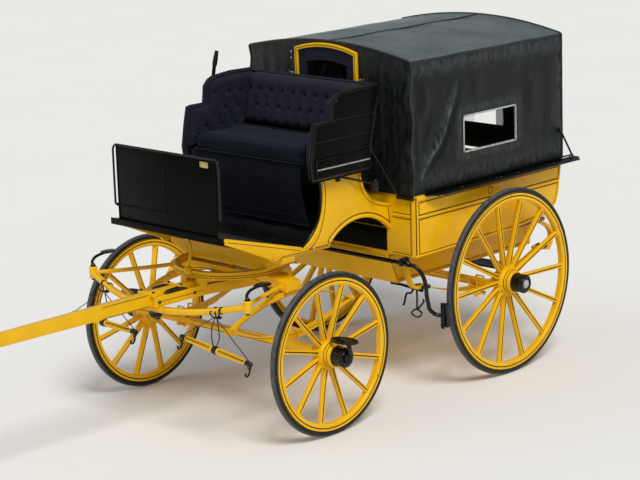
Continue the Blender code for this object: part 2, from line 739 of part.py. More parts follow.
def dash():
    low = floor_top(DASH_Y - 0.004)
    panel_half = DASH_HALF - 0.030
    upper = DASH_HIGH - ROD
    panel = block(-panel_half, panel_half, DASH_Y - 0.004, DASH_Y + 0.004, low + GAP, upper)
    corner = 0.035
    half = [(0, upper)] + arc((DASH_HALF - corner, upper - corner), corner, 90, 0, 5)
    half += [(DASH_HALF, DASH_LEDGE + 0.008), (DASH_HALF - 0.004, DASH_LEDGE), (panel_half - 0.010, DASH_LEDGE)]
    loop = [(x, DASH_Y, z) for x, z in mirrored(half)[:-1] + half]
    solid("dash", BLACK_PAINT, swept(loop, round_section(ROD), side=(0, 1, 0)), add=[panel])


# Seat

WING = [(0.144, 1.364), (0.134, 1.445), (0.156, 1.575), (0.177, 1.668), (0.307, 1.674), (0.319, 1.771),
        (0.350, 1.803), (0.387, 1.818), (0.520, 1.830), (0.704, 1.826), (0.659, 1.684), (0.609, 1.456),
        (0.606, 1.364)]
BACK_FOOT = 0.606
BACK_TOP = 0.704


def back_line(z):
    """Rear face of the seat back at height z."""
    return BACK_FOOT + (BACK_TOP - BACK_FOOT) * (z - 1.40) / (1.826 - 1.40)


def seat():
    inner = SEAT_HALF - SEAT_WALL
    for side in (1, -1):
        x0, x1 = span(side, inner, SEAT_HALF)
        solid(f"seat_wing_{side_name(side)}", BLACK_PAINT, prism(WING, "x", x0, x1))
    wide = inner - GAP
    base_rear = BACK_FOOT - SEAT_WALL - GAP
    solid("seat_base", BLACK_PAINT, block(-wide, wide, 0.150, base_rear, BOOT_TOP + GAP, CUSHION_LOW))
    high = 1.820
    low = BOOT_TOP + GAP
    outline = [(BACK_FOOT - SEAT_WALL, low), (BACK_FOOT, low), (back_line(1.40), 1.40), (back_line(high), high),
               (back_line(high) - SEAT_WALL, high), (back_line(1.40) - SEAT_WALL, 1.40)]
    solid("seat_back", BLACK_PAINT, prism(outline, "x", -wide, wide))
    pad_low = CUSHION_HIGH + 0.003
    pad_high = high - 0.012
    squab_thick = 0.070
    face = SEAT_WALL + GAP
    back = [(back_line(pad_low) - face, pad_low), (back_line(pad_high) - face, pad_high)]
    back += [(y - squab_thick, z) for y, z in back[::-1]]
    flank_low = CUSHION_LOW + GAP
    flank = [(0.158, flank_low), (0.175, pad_low), (0.190, 1.655), (0.320, 1.661), (0.333, 1.762),
             (0.395, 1.802), (back_line(pad_high) - face, pad_high), (back_line(flank_low) - face, flank_low)]
    flanks = [prism(flank, "x", *span(side, wide - FLANK_THICK, wide)) for side in (1, -1)]
    middle = wide - FLANK_THICK + 0.004
    solid("seat_squab", CLOTH, prism(back, "x", -middle, middle), add=[merge(*flanks)])
    cushion_rear = back_line(CUSHION_LOW) - face - 0.002
    half = wide - FLANK_THICK - 0.001
    cushion = block(-half, half, 0.130, cushion_rear, CUSHION_LOW + GAP, CUSHION_HIGH)
    solid("seat_cushion", CLOTH, cushion)
    fall = [(0.136, CUSHION_LOW), (0.150 - GAP, CUSHION_LOW), (0.150 - GAP, BOOT_TOP), (0.212, 1.085),
            (0.198, 1.085), (0.138, BOOT_TOP)]
    fall_half = BOOT_HALF - BOOT_WALL - 0.003
    solid("seat_fall", CLOTH, prism(fall, "x", -fall_half, fall_half))


def seat_irons():
    for side in (1, -1):
        top = (side * (SEAT_HALF - 0.006), back_line(1.46) + 0.006, 1.455)
        foot = (side * (BODY_HALF - 0.105), HOOD_FRONT - 0.0065, RAIL - 0.006)
        rod = swept([top, foot], round_section(0.005))
        x0, x1 = span(side, BODY_HALF - 0.12, BODY_HALF)
        plate = block(x0, x1, HOOD_FRONT - 0.012, BODY_FRONT - GAP, RAIL - 0.020, RAIL - 0.002)
        solid(f"seat_stay_{side_name(side)}", IRON, plate, add=[rod])
        x = side * (BOOT_HALF + 0.007)
        arm = [(x, 0.395, 1.322), (x, 0.430, 1.329), (side * 0.490, 0.530, 1.300), (side * 0.505, 0.655, 1.262)]
        cup = cylinder("z", (side * 0.505, 0.655, 0), 0.024, 1.207, 1.285, 16)
        neck = cylinder("z", (side * 0.505, 0.655, 0), 0.028, 1.240, 1.252, 16)
        pad = block(*span(side, BOOT_HALF + GAP, BOOT_HALF + 0.008), 0.385, 0.422, 1.310, 1.336)
        solid(f"lamp_holder_{side_name(side)}", IRON, cup, add=[neck, swept(arm, round_section(0.006)), pad])


# Passenger body

def body_sides():
    outline = [(BODY_FRONT, SILL), (1.70, SILL + 0.010), (BODY_REAR - 0.099, SILL + 0.044),
               (BODY_REAR - 0.025, SILL + 0.103), (BODY_REAR - 0.002, SILL + 0.165), (BODY_REAR + 0.028, RAIL),
               (BODY_FRONT, RAIL)]
    for side in (1, -1):
        x0, x1 = span(side, BODY_HALF - WALL, BODY_HALF)
        solid(f"body_side_{side_name(side)}", YELLOW, prism(outline, "x", x0, x1))


def body_ends():
    inside = BODY_HALF - WALL - GAP
    front = block(-inside, inside, BODY_FRONT, BODY_FRONT + WALL, SILL, RAIL)
    solid("body_front", YELLOW, front)
    low = WELL_BOTTOM + GAP
    shoulder = SILL + 0.09
    half = [(WELL_HALF, low), (WELL_HALF, shoulder), (inside, shoulder), (inside, RAIL), (DOOR_HALF, RAIL),
            (DOOR_HALF, DOOR_SILL)]
    outline = mirrored(half) + half
    knuckles = []
    for z in HINGE_HEIGHTS:
        low_z, high_z = z + HINGE_LENGTH + GAP, z + HINGE_LENGTH + 0.030
        knuckles.append(cylinder("z", (HINGE_X, HINGE_Y, 0), HINGE_RADIUS, low_z, high_z, 12))
        knuckles.append(block(HINGE_X, DOOR_HALF + 0.075, BODY_REAR - 0.002, BODY_REAR + 0.007, low_z, high_z))
    solid("body_rear", YELLOW, prism(outline, "y", BODY_REAR - WALL, BODY_REAR), add=knuckles)


def body_floor():
    inside = BODY_HALF - WALL - GAP
    front = BODY_FRONT + WALL + GAP
    rear = BODY_REAR - 0.107
    well = WELL_HALF - WALL
    outline = [(-inside, front), (inside, front), (inside, rear), (well, rear), (well, front + 0.045),
               (-well, front + 0.045), (-well, rear), (-inside, rear)]
    solid("body_floor", WOOD, prism(outline, "z", FLOOR_LOW, FLOOR_TOP))
    rear_side = BODY_REAR - WALL - GAP
    top = SILL - GAP
    slant = [(WELL_FRONT_TOP, top), (WELL_FRONT_LOW, WELL_BOTTOM), (rear_side, WELL_BOTTOM), (rear_side, top)]
    shell = prism(slant, "x", -WELL_HALF, WELL_HALF)
    inner_rear = rear_side + 0.05
    hollow = [(BODY_FRONT + WALL + 0.046, top + 0.02), (BODY_FRONT + WALL + 0.046, top - 0.06),
              (WELL_FRONT_LOW + 0.022, WELL_BOTTOM + BOARD), (inner_rear, WELL_BOTTOM + BOARD),
              (inner_rear, top + 0.02)]
    inner = prism(hollow, "x", -well, well)
    solid("foot_well", YELLOW, shell, cut=[inner])


def benches():
    outer = BODY_HALF - WALL - GAP
    seat_low, seat_high = FLOOR_TOP + 0.188, FLOOR_TOP + 0.208
    front = BODY_FRONT + WALL + GAP
    rear = BODY_REAR - 0.112
    lip = WELL_HALF - 0.135
    riser = WELL_HALF - 0.018
    for side in (1, -1):
        outline = [(lip, seat_low), (riser, seat_low), (riser, FLOOR_TOP + GAP), (WELL_HALF, FLOOR_TOP + GAP),
                   (WELL_HALF, seat_low), (outer, seat_low), (outer, seat_high), (lip, seat_high)]
        solid(f"bench_{side_name(side)}", WOOD, prism([(side * x, z) for x, z in outline], "y", front, rear))
        x0, x1 = span(side, lip + 0.005, outer - 0.004)
        cushion = block(x0, x1, front + 0.005, rear - 0.005, seat_high + GAP, seat_high + 0.06)
        solid(f"bench_cushion_{side_name(side)}", CLOTH, cushion)


def wing_boards():
    low, high = RAIL - 0.008, RAIL + 0.004
    inner = BODY_HALF + GAP
    outer = BODY_HALF + WING_BOARD_WIDTH
    for side in (1, -1):
        outline = [(inner, 0.920), (inner + 0.03, 0.920), (outer, 1.010), (outer, 2.255), (outer - 0.04, 2.300),
                   (inner, 2.300)]
        board = prism([(side * x, y) for x, y in outline], "z", low, high)
        x = side * (inner + 0.012)
        rail = swept([(x, 0.93, high + 0.012), (x, 2.28, high + 0.012)], round_section(0.005))
        posts = []
        for i in range(6):
            y = 0.95 + i * 0.26
            posts.append(cylinder("z", (x, y, 0), 0.004, high - 0.004, high + 0.014, 8))
        solid(f"wing_board_{side_name(side)}", BLACK_PAINT, board, add=[merge(*posts), rail])


def hood_outline(inset):
    """Half of the hood's section: side, rounded eave and arched roof, to the crown."""
    half = BODY_HALF - inset
    side_top = HOOD_SIDE_TOP - inset
    crown = HOOD_CROWN - inset
    eave = 0.030
    points = arc((half - eave, side_top - eave), eave, 0, 70, 4)
    for i in range(1, 9):
        t = i / 8
        x = points[4][0] * (1 - t)
        points.append((x, crown - (crown - points[4][1]) * (x / points[4][0]) ** 2))
    return points


def arched_opening(half, low, centre_z, radius):
    """Outline with upright sides and an arched top, in x and z."""
    edge = math.degrees(math.acos(half / radius))
    return [(-half, low), (half, low)] + arc((0, centre_z), radius, edge, 180 - edge, 6)


def hood():
    low = RAIL + GAP
    outer = hood_outline(0)
    section = [(BODY_HALF, low)] + outer
    whole = section + mirrored(section)[1:]
    shell = prism(whole, "y", HOOD_FRONT, HOOD_REAR)
    inner = hood_outline(HOOD_WALL)
    core = [(BODY_HALF - HOOD_WALL, low - 0.05)] + inner
    hollow = prism(core + mirrored(core)[1:], "y", HOOD_FRONT + HOOD_WALL, HOOD_REAR - HOOD_WALL)
    side_window = block(-1, 1, WINDOW_FRONT, WINDOW_REAR, WINDOW_LOW, WINDOW_HIGH)
    front_outline = arched_opening(0.205, WINDOW_LOW, ARCH_CENTRE_Z, 0.758)
    front_window = prism(front_outline, "y", HOOD_FRONT - 0.1, HOOD_FRONT + 0.1)
    rear_window = block(-REAR_WINDOW_HALF, REAR_WINDOW_HALF, HOOD_REAR - 0.1, HOOD_REAR + 0.1,
                        REAR_WINDOW_LOW, REAR_WINDOW_HIGH)
    solid("hood", CANVAS, shell, cut=[hollow, side_window, front_window, rear_window])
    frame_rear = HOOD_FRONT - GAP
    frame = arched_opening(0.247, RAIL + 0.03, ARCH_CENTRE_Z, 0.802)
    opening = arched_opening(0.207, WINDOW_LOW, ARCH_CENTRE_Z, 0.760)
    solid("hood_front_frame", YELLOW, prism(frame, "y", frame_rear - 0.018, frame_rear),
          cut=[prism(opening, "y", frame_rear - 0.1, frame_rear + 0.1)])


def hood_stays():
    for side in (1, -1):
        foot = (side * (BODY_HALF + 0.045), HOOD_REAR + 0.045, RAIL + 0.004 + GAP)
        head = (side * (BODY_HALF + 0.010), HOOD_REAR - 0.029, RAIL + 0.185)
        knee = (foot[0], foot[1], foot[2] + 0.012)
        rod = swept([foot, knee, head], round_section(0.006))
        clasp = cylinder("x", (side * (BODY_HALF + GAP), *head[1:]), 0.014, *sorted((0, side * 0.016)), 12)
        solid(f"hood_stay_{side_name(side)}", IRON, rod, add=[clasp])


# Brake, step and door

def block_face(z):
    """Where the brake block's face lies at height z, just ahead of the rear tyre."""
    return WHEELBASE - math.sqrt((REAR_RADIUS + CLEAR + 0.003) ** 2 - (REAR_RADIUS - z) ** 2)


def brake_gear():
    """Cross shaft with an arm to each rear tyre's block and one up to the lever's link."""
    shaft_y, shaft_z = BRAKE_SHAFT_Y, BRAKE_SHAFT_Z
    shaft = cylinder("x", (0, shaft_y, shaft_z), 0.013, -BRAKE_SHAFT_HALF, BRAKE_SHAFT_HALF, 12)
    clips = []
    arms = []
    blocks = []
    end_y = block_face(BLOCK_Z) - 0.043
    knee_y = shaft_y + (end_y - shaft_y) * 0.46
    block_low, block_high = BLOCK_Z - BLOCK_HALF_HEIGHT, BLOCK_Z + BLOCK_HALF_HEIGHT
    for side in (1, -1):
        track = side * REAR_TRACK_HALF
        low, high = sorted((side * (BRAKE_SHAFT_HALF - 0.045), side * (BRAKE_SHAFT_HALF - 0.020)))
        clips.append(block(low, high, shaft_y - 0.010, BODY_FRONT + 0.02, shaft_z - 0.01, SILL - GAP))
        shoulder = (track - side * 0.12, shaft_y + 0.02, shaft_z - 0.012)
        bend = (track - side * 0.055, knee_y - 0.01, shaft_z - 0.052)
        knee = (track - side * 0.065, knee_y, BLOCK_Z + 0.125)
        path = [(side * (BRAKE_SHAFT_HALF - 0.015), shaft_y, shaft_z)]
        path += bezier(shoulder, bend, knee, 5)
        below = (track - side * 0.06, knee_y + 0.015, BLOCK_Z + 0.045)
        elbow = (track - side * 0.05, end_y - 0.025, BLOCK_Z)
        path += bezier(below, elbow, (track - side * 0.005, end_y, BLOCK_Z + 0.003), 4)
        arms.append(swept(path, round_section(0.0125)))
        heights = [block_low + (block_high - block_low) * i / 4 for i in range(5)]
        face = [(block_face(z), z) for z in heights]
        outline = face + [(face[-1][0] - 0.035, block_high), (face[0][0] - 0.045, block_low)]
        x0, x1 = span(side, REAR_TRACK_HALF - 0.022, REAR_TRACK_HALF + 0.018)
        blocks.append(prism(outline, "x", x0, x1))
    crank = block(LEVER_X - 0.006, LEVER_X + 0.006, shaft_y - 0.010, shaft_y + 0.010, shaft_z, LINK_Z + 0.012)
    solid("brake_gear", IRON, shaft, add=[merge(*clips), merge(*arms), merge(*blocks), crank])


def brake_lever():
    """Hand lever on the right of the boot, with its link, which passes over the turned wheel."""
    x = LEVER_X
    pivot = (x, 0.262, 1.000)
    bar = swept([(x, 0.240, 0.926), pivot, (x - 0.005, 0.390, 1.640), (x - 0.008, 0.452, 1.930)],
                flat_section(0.010, 0.026), side=(1, 0, 0))
    grip = swept([(x - 0.008, 0.440, 1.875), (x - 0.009, 0.466, 1.960)], round_section(0.015))
    stud = cylinder("x", (0, pivot[1], pivot[2]), 0.014, x - 0.008, -BOOT_HALF - GAP, 12)
    link = swept([(x, 0.240, LINK_Z), (x, BRAKE_SHAFT_Y - 0.010 - GAP, LINK_Z)], round_section(0.006))
    solid("brake_lever", IRON, bar, add=[stud, grip, link])


def rear_step():
    top = WELL_BOTTOM - GAP
    pieces = []
    for side in (1, -1):
        x = side * 0.14
        path = [(x, 2.05, top - 0.006), (x, 2.12, top - 0.006), (x, 2.20, top - 0.04), (x, 2.265, 0.391)]
        pieces.append(swept(path, flat_section(0.028, 0.011), side=(1, 0, 0)))
    pad = block(-0.19, 0.19, TAIL - 0.13, TAIL, 0.385, 0.400)
    cross = block(-0.16, 0.16, 2.055, 2.085, top - 0.0115, top)
    solid("rear_step", IRON, pad, add=[merge(*pieces), cross])


def rear_door():
    """Hinged on its left edge, outside the body's rear wall."""
    half = DOOR_HALF - 0.005
    panel = block(-half, half, BODY_REAR - WALL + 0.002, BODY_REAR, DOOR_SILL + 0.005, RAIL - 0.006)
    knuckles = []
    for z in HINGE_HEIGHTS:
        knuckles.append(cylinder("z", (HINGE_X, HINGE_Y, 0), HINGE_RADIUS, z, z + HINGE_LENGTH, 12))
        strap = [(DOOR_HALF - 0.09, BODY_REAR - 0.001), (DOOR_HALF - 0.0065, BODY_REAR - 0.001),
                 (DOOR_HALF - 0.0065, BODY_REAR + 0.002), (DOOR_HALF, BODY_REAR + 0.002),
                 (DOOR_HALF, BODY_REAR + 0.008), (DOOR_HALF - 0.09, BODY_REAR + 0.008)]
        knuckles.append(prism(strap, "z", z, z + HINGE_LENGTH))
    handle = swept([(-DOOR_HALF + 0.05, BODY_REAR - 0.002, 0.98), (-DOOR_HALF + 0.05, BODY_REAR + 0.035, 0.98),
                    (-DOOR_HALF + 0.14, BODY_REAR + 0.040, 0.975)], round_section(0.008))
    solid("rear_door", YELLOW, panel, add=[*knuckles, handle], origin=(HINGE_X, HINGE_Y, DOOR_SILL))


def build():
    clear_scene()
    wheels()
    front_axle()
    rear_axle()
    front_springs()
    rear_springs()
    rear_irons()
    lower_bed()
    upper_ring()
    futchells()
    pole()
    splinter_bar()
    swingletrees()
    boot_sides()
    boot_panels()
    footboard()
    dash()
    seat()
    seat_irons()
    body_sides()
    body_ends()
    body_floor()
    benches()
    wing_boards()
    hood()
    hood_stays()
    brake_gear()
    brake_lever()
    rear_step()
    rear_door()


build()
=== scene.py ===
"""Looks of the horse-drawn wagonette: paint, lining, leather, cloth, canvas and light.

Metres, +Z up, the carriage faces -Y. Points are measured from the front axle's centre line, as
in the part's source, and every mesh then moves back by FRONT_AXLE_Y.
"""
import bmesh
import bpy
import json
import math
from mathutils import Matrix, Vector, noise

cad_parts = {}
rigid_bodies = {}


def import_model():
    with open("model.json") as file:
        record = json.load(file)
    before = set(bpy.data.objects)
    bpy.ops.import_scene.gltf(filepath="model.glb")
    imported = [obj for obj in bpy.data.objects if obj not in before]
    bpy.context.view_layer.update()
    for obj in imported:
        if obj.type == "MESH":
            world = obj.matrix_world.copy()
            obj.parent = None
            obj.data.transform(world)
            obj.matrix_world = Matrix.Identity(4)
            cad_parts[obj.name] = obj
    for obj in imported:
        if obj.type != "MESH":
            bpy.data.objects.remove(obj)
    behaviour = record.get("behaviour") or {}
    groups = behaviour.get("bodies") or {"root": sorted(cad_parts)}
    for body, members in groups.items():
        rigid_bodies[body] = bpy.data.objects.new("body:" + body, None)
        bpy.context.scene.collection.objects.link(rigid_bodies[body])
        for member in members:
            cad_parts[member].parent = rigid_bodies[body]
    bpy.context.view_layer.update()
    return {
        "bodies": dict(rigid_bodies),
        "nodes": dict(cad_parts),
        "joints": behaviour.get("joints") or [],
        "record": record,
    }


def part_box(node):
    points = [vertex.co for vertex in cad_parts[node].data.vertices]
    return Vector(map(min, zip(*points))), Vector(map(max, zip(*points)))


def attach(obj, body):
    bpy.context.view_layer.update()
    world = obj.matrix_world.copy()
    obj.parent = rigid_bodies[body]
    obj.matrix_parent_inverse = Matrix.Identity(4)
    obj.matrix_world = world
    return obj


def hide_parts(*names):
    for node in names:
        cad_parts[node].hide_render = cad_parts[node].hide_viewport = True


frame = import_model()
NODES = frame["nodes"]
RECORD = frame["record"]
BODY_OF = {node: body for body, nodes in RECORD["behaviour"]["bodies"].items() for node in nodes}
SLOT_OF = {part["node"]: part["material_slot"] for part in RECORD["subparts"]}

FRONT_AXLE_Y = 0.42
SHIFT = Vector((0, FRONT_AXLE_Y, 0))
SIDES = (1, -1)
LIFT = 0.0006
LINE = 0.0035


# Camera

SENSOR_WIDTH = 36.0
PICTURE_PIXELS = 640.0
FOCAL_PIXELS = 2177.0


def camera():
    yaw, pitch, roll = 0.772337, 0.230790, -0.030752
    back = Vector((math.sin(yaw) * math.cos(pitch), -math.cos(yaw) * math.cos(pitch), math.sin(pitch)))
    right_level = (-back).cross(Vector((0, 0, 1))).normalized()
    up_level = right_level.cross(-back)
    right = math.cos(roll) * right_level + math.sin(roll) * up_level
    up = -math.sin(roll) * right_level + math.cos(roll) * up_level
    lens = bpy.data.cameras.new("camera")
    lens.sensor_width = SENSOR_WIDTH
    lens.lens = FOCAL_PIXELS / PICTURE_PIXELS * SENSOR_WIDTH
    lens.clip_end = 500
    eye = bpy.data.objects.new("camera", lens)
    bpy.context.scene.collection.objects.link(eye)
    place = Matrix((right, up, back)).transposed().to_4x4()
    place.translation = Vector((8.66462, -8.17805, 3.76929)) + SHIFT
    eye.matrix_world = place
    bpy.context.scene.camera = eye


# Materials

def start_material(name):
    made = bpy.data.materials.new(name + "_look")
    made.use_nodes = True
    return made, made.node_tree, made.node_tree.nodes["Principled BSDF"]


def link(tree, source, target):
    tree.links.new(source, target)


def noise_node(tree, scale, detail=4.0, stretch=(1, 1, 1), roughness=0.55):
    place = tree.nodes.new("ShaderNodeTexCoord")
    turn = tree.nodes.new("ShaderNodeMapping")
    turn.inputs["Scale"].default_value = stretch
    made = tree.nodes.new("ShaderNodeTexNoise")
    made.inputs["Scale"].default_value = scale
    made.inputs["Detail"].default_value = detail
    made.inputs["Roughness"].default_value = roughness
    link(tree, place.outputs["Object"], turn.inputs["Vector"])
    link(tree, turn.outputs["Vector"], made.inputs["Vector"])
    return made.outputs["Fac"]


def spread(tree, value, low, high, out_low=0.0, out_high=1.0):
    made = tree.nodes.new("ShaderNodeMapRange")
    made.inputs["From Min"].default_value = low
    made.inputs["From Max"].default_value = high
    made.inputs["To Min"].default_value = out_low
    made.inputs["To Max"].default_value = out_high
    link(tree, value, made.inputs["Value"])
    return made.outputs["Result"]


def mix(tree, share, first, second):
    made = tree.nodes.new("ShaderNodeMix")
    made.data_type = "RGBA"
    if isinstance(share, float):
        made.inputs[0].default_value = share
    else:
        link(tree, share, made.inputs[0])
    for socket, colour in ((made.inputs[6], first), (made.inputs[7], second)):
        if isinstance(colour, tuple):
            socket.default_value = (*colour, 1.0)
        else:
            link(tree, colour, socket)
    return made.outputs[2]


def combine(tree, operation, first, second):
    made = tree.nodes.new("ShaderNodeMath")
    made.operation = operation
    for socket, value in zip(made.inputs, (first, second)):
        if isinstance(value, float):
            socket.default_value = value
        else:
            link(tree, value, socket)
    return made.outputs[0]


def bump(tree, shader, height, strength, distance=0.001):
    made = tree.nodes.new("ShaderNodeBump")
    made.inputs["Strength"].default_value = strength
    made.inputs["Distance"].default_value = distance
    link(tree, height, made.inputs["Height"])
    link(tree, made.outputs["Normal"], shader.inputs["Normal"])


def paint(name, colour, shade, chips, roughness=(0.22, 0.42), coat=0.3, dust=(0.30, 0.24, 0.13), dusty=0.18,
          chipped=0.70, shine=0.5):
    """Old coach paint: uneven tone, a film of dust, small chips, brush waves."""
    made, tree, shader = start_material(name)
    tone = spread(tree, noise_node(tree, 5.0, 5.0), 0.35, 0.68)
    base = mix(tree, tone, colour, shade)
    film = spread(tree, noise_node(tree, 14.0, 8.0, (1, 1, 0.6), 0.7), 0.50, 0.80, 0.0, dusty)
    base = mix(tree, film, base, dust)
    spots = spread(tree, noise_node(tree, 95.0, 5.0, (1, 1, 1), 0.62), chipped, chipped + 0.02)
    base = mix(tree, spots, base, chips)
    link(tree, base, shader.inputs["Base Color"])
    matt = spread(tree, noise_node(tree, 22.0, 6.0), 0.3, 0.75, roughness[0], roughness[1])
    link(tree, matt, shader.inputs["Roughness"])
    shader.inputs["Coat Weight"].default_value = coat
    shader.inputs["Coat Roughness"].default_value = 0.12
    shader.inputs["Specular IOR Level"].default_value = shine
    bump(tree, shader, combine(tree, "SUBTRACT", noise_node(tree, 60.0, 3.0), spots), 0.10, 0.0006)
    return made


def wear_of(tree):
    """How worn the mesh says that it is, from 0 to 1; on the hood canvas the value also carries a painted
    highlight along the big crease.
    """
    made = tree.nodes.new("ShaderNodeAttribute")
    made.attribute_name = "wear"
    return made.outputs["Fac"]


def rubber(name, flank, low, high):
    """Solid rubber: dark flanks, a tread worn grey with scuffs and fine cracks."""
    made, tree, shader = start_material(name)
    scuff = spread(tree, noise_node(tree, 38.0, 9.0, (1, 1, 1), 0.72), 0.42, 0.66)
    base = mix(tree, scuff, low, high)
    grain = noise_node(tree, 420.0, 4.0)
    base = mix(tree, spread(tree, grain, 0.56, 0.70, 0.0, 0.6), base, (0.20, 0.20, 0.20))
    base = mix(tree, wear_of(tree), flank, base)
    link(tree, base, shader.inputs["Base Color"])
    link(tree, spread(tree, scuff, 0.0, 1.0, 0.55, 0.85), shader.inputs["Roughness"])
    bump(tree, shader, grain, 0.35, 0.0012)
    return made


def weave(tree, pitch):
    """Height of a plain weave with that pitch in metres, the same from every side."""
    place = tree.nodes.new("ShaderNodeTexCoord")
    split = tree.nodes.new("ShaderNodeSeparateXYZ")
    link(tree, place.outputs["Object"], split.inputs[0])
    height = None
    for axis in ("X", "Y", "Z"):
        turn = combine(tree, "MULTIPLY", split.outputs[axis], 2 * math.pi / pitch)
        wave = combine(tree, "SINE", turn, 0.0)
        height = wave if height is None else combine(tree, "MULTIPLY", height,
                combine(tree, "ADD", wave, 1.4))
    return height


def cloth(name, colour, light, pitch=0.0022, worn=0.35):
    """Napped wool cloth: fine weave, brushed patches that catch the light."""
    made, tree, shader = start_material(name)
    nap = spread(tree, noise_node(tree, 9.0, 7.0, (1, 1, 1.6), 0.62), 0.35, 0.75, 0.0, worn)
    base = mix(tree, nap, colour, light)
    fuzz = spread(tree, noise_node(tree, 650.0, 2.0), 0.35, 0.7, 0.0, 0.35)
    base = mix(tree, fuzz, base, light)
    link(tree, base, shader.inputs["Base Color"])
    shader.inputs["Roughness"].default_value = 0.92
    shader.inputs["Sheen Weight"].default_value = 0.06
    shader.inputs["Sheen Roughness"].default_value = 0.45
    shader.inputs["Specular IOR Level"].default_value = 0.12
    bump(tree, shader, combine(tree, "ADD", weave(tree, pitch), noise_node(tree, 500.0, 3.0)), 0.22, 0.0008)
    return made


def canvas(name):
    """Coated black canvas: a painted sky reflection lightens the faces that look up, smears and scratches on
    the sides.
    """
    made, tree, shader = start_material(name)
    smear = spread(tree, noise_node(tree, 3.2, 8.0, (1, 1, 0.35), 0.66), 0.50, 0.78)
    base = mix(tree, smear, (0.0020, 0.0030, 0.0030), (0.0098, 0.0142, 0.0172))
    streak = spread(tree, noise_node(tree, 26.0, 8.0, (1, 1, 0.22), 0.7), 0.62, 0.74, 0.0, 0.55)
    base = mix(tree, streak, base, (0.034, 0.044, 0.050))
    shape = tree.nodes.new("ShaderNodeNewGeometry")
    split = tree.nodes.new("ShaderNodeSeparateXYZ")
    link(tree, shape.outputs["Normal"], split.inputs[0])
    # Lighter where the wear attribute is high: rubbed wear at the eaves, ends and window, plus a painted
    # highlight along the big side crease.
    rubbed_and_highlit = combine(tree, "MULTIPLY", wear_of(tree),
                     spread(tree, noise_node(tree, 34.0, 8.0, (1, 1, 0.5), 0.7), 0.36, 0.60))
    base = mix(tree, rubbed_and_highlit, base, (0.125, 0.145, 0.150))
    # Painted sky reflection: faces whose normal points up are mixed towards a lighter grey-green, standing in
    # for the sky mirrored in the roof.
    top = spread(tree, split.outputs["Z"], 0.72, 0.95)
    painted_sky_reflection = mix(tree, spread(tree, noise_node(tree, 4.5, 7.0, (1, 1, 1), 0.6), 0.35, 0.7),
                (0.056, 0.085, 0.090), (0.100, 0.138, 0.145))
    base = mix(tree, top, base, painted_sky_reflection)
    flecks = spread(tree, noise_node(tree, 150.0, 3.0), 0.735, 0.75, 0.0, 0.6)
    base = mix(tree, flecks, base, (0.20, 0.21, 0.20))
    link(tree, base, shader.inputs["Base Color"])
    link(tree, spread(tree, smear, 0.0, 1.0, 0.26, 0.50), shader.inputs["Roughness"])
    shader.inputs["Specular IOR Level"].default_value = 0.20
    fine = combine(tree, "ADD", weave(tree, 0.0025), noise_node(tree, 70.0, 7.0))
    bump(tree, shader, fine, 0.20, 0.0012)
    return made


def leather(name, colour):
    made, tree, shader = start_material(name)
    base = mix(tree, spread(tree, noise_node(tree, 30.0, 6.0), 0.45, 0.75), colour,
               tuple(2.5 * c + 0.003 for c in colour))
    link(tree, base, shader.inputs["Base Color"])
    shader.inputs["Roughness"].default_value = 0.42
    shader.inputs["Coat Weight"].default_value = 0.15
    bump(tree, shader, noise_node(tree, 320.0, 5.0), 0.25, 0.0008)
    return made


def ribbed_mat(name):
    """Dark rubber mat with fine ribs along the carriage."""
    made, tree, shader = start_material(name)
    place = tree.nodes.new("ShaderNodeTexCoord")
    split = tree.nodes.new("ShaderNodeSeparateXYZ")
    link(tree, place.outputs["Object"], split.inputs[0])
    rib = combine(tree, "SINE", combine(tree, "MULTIPLY", split.outputs["X"], 2 * math.pi / 0.008), 0.0)
    dirt = spread(tree, noise_node(tree, 17.0, 8.0, (1, 1, 1), 0.65), 0.4, 0.75)
    link(tree, mix(tree, dirt, (0.010, 0.011, 0.013), (0.028, 0.028, 0.029)), shader.inputs["Base Color"])
    shader.inputs["Roughness"].default_value = 0.62
    bump(tree, shader, rib, 0.5, 0.001)
    return made


def wood(name):
    made, tree, shader = start_material(name)
    grain = noise_node(tree, 9.0, 8.0, (14, 1, 14), 0.6)
    link(tree, mix(tree, spread(tree, grain, 0.35, 0.7), (0.23, 0.125, 0.045), (0.11, 0.052, 0.018)),
         shader.inputs["Base Color"])
    shader.inputs["Roughness"].default_value = 0.45
    bump(tree, shader, grain, 0.12, 0.0008)
    return made


def metal(name, colour, roughness):
    made, tree, shader = start_material(name)
    stain = spread(tree, noise_node(tree, 45.0, 6.0), 0.4, 0.75)
    link(tree, mix(tree, stain, colour, tuple(0.55 * c for c in colour)), shader.inputs["Base Color"])
    shader.inputs["Metallic"].default_value = 1.0
    link(tree, spread(tree, stain, 0.0, 1.0, roughness, roughness + 0.2), shader.inputs["Roughness"])
    bump(tree, shader, noise_node(tree, 240.0, 4.0), 0.08, 0.0005)
    return made


def glazing(name):
    made, tree, shader = start_material(name)
    smudge = spread(tree, noise_node(tree, 24.0, 6.0), 0.4, 0.8, 0.05, 0.22)
    link(tree, smudge, shader.inputs["Roughness"])
    shader.inputs["Base Color"].default_value = (0.92, 0.95, 0.94, 1)
    shader.inputs["Transmission Weight"].default_value = 1.0
    shader.inputs["IOR"].default_value = 1.05
    shader.inputs["Alpha"].default_value = 0.25
    return made


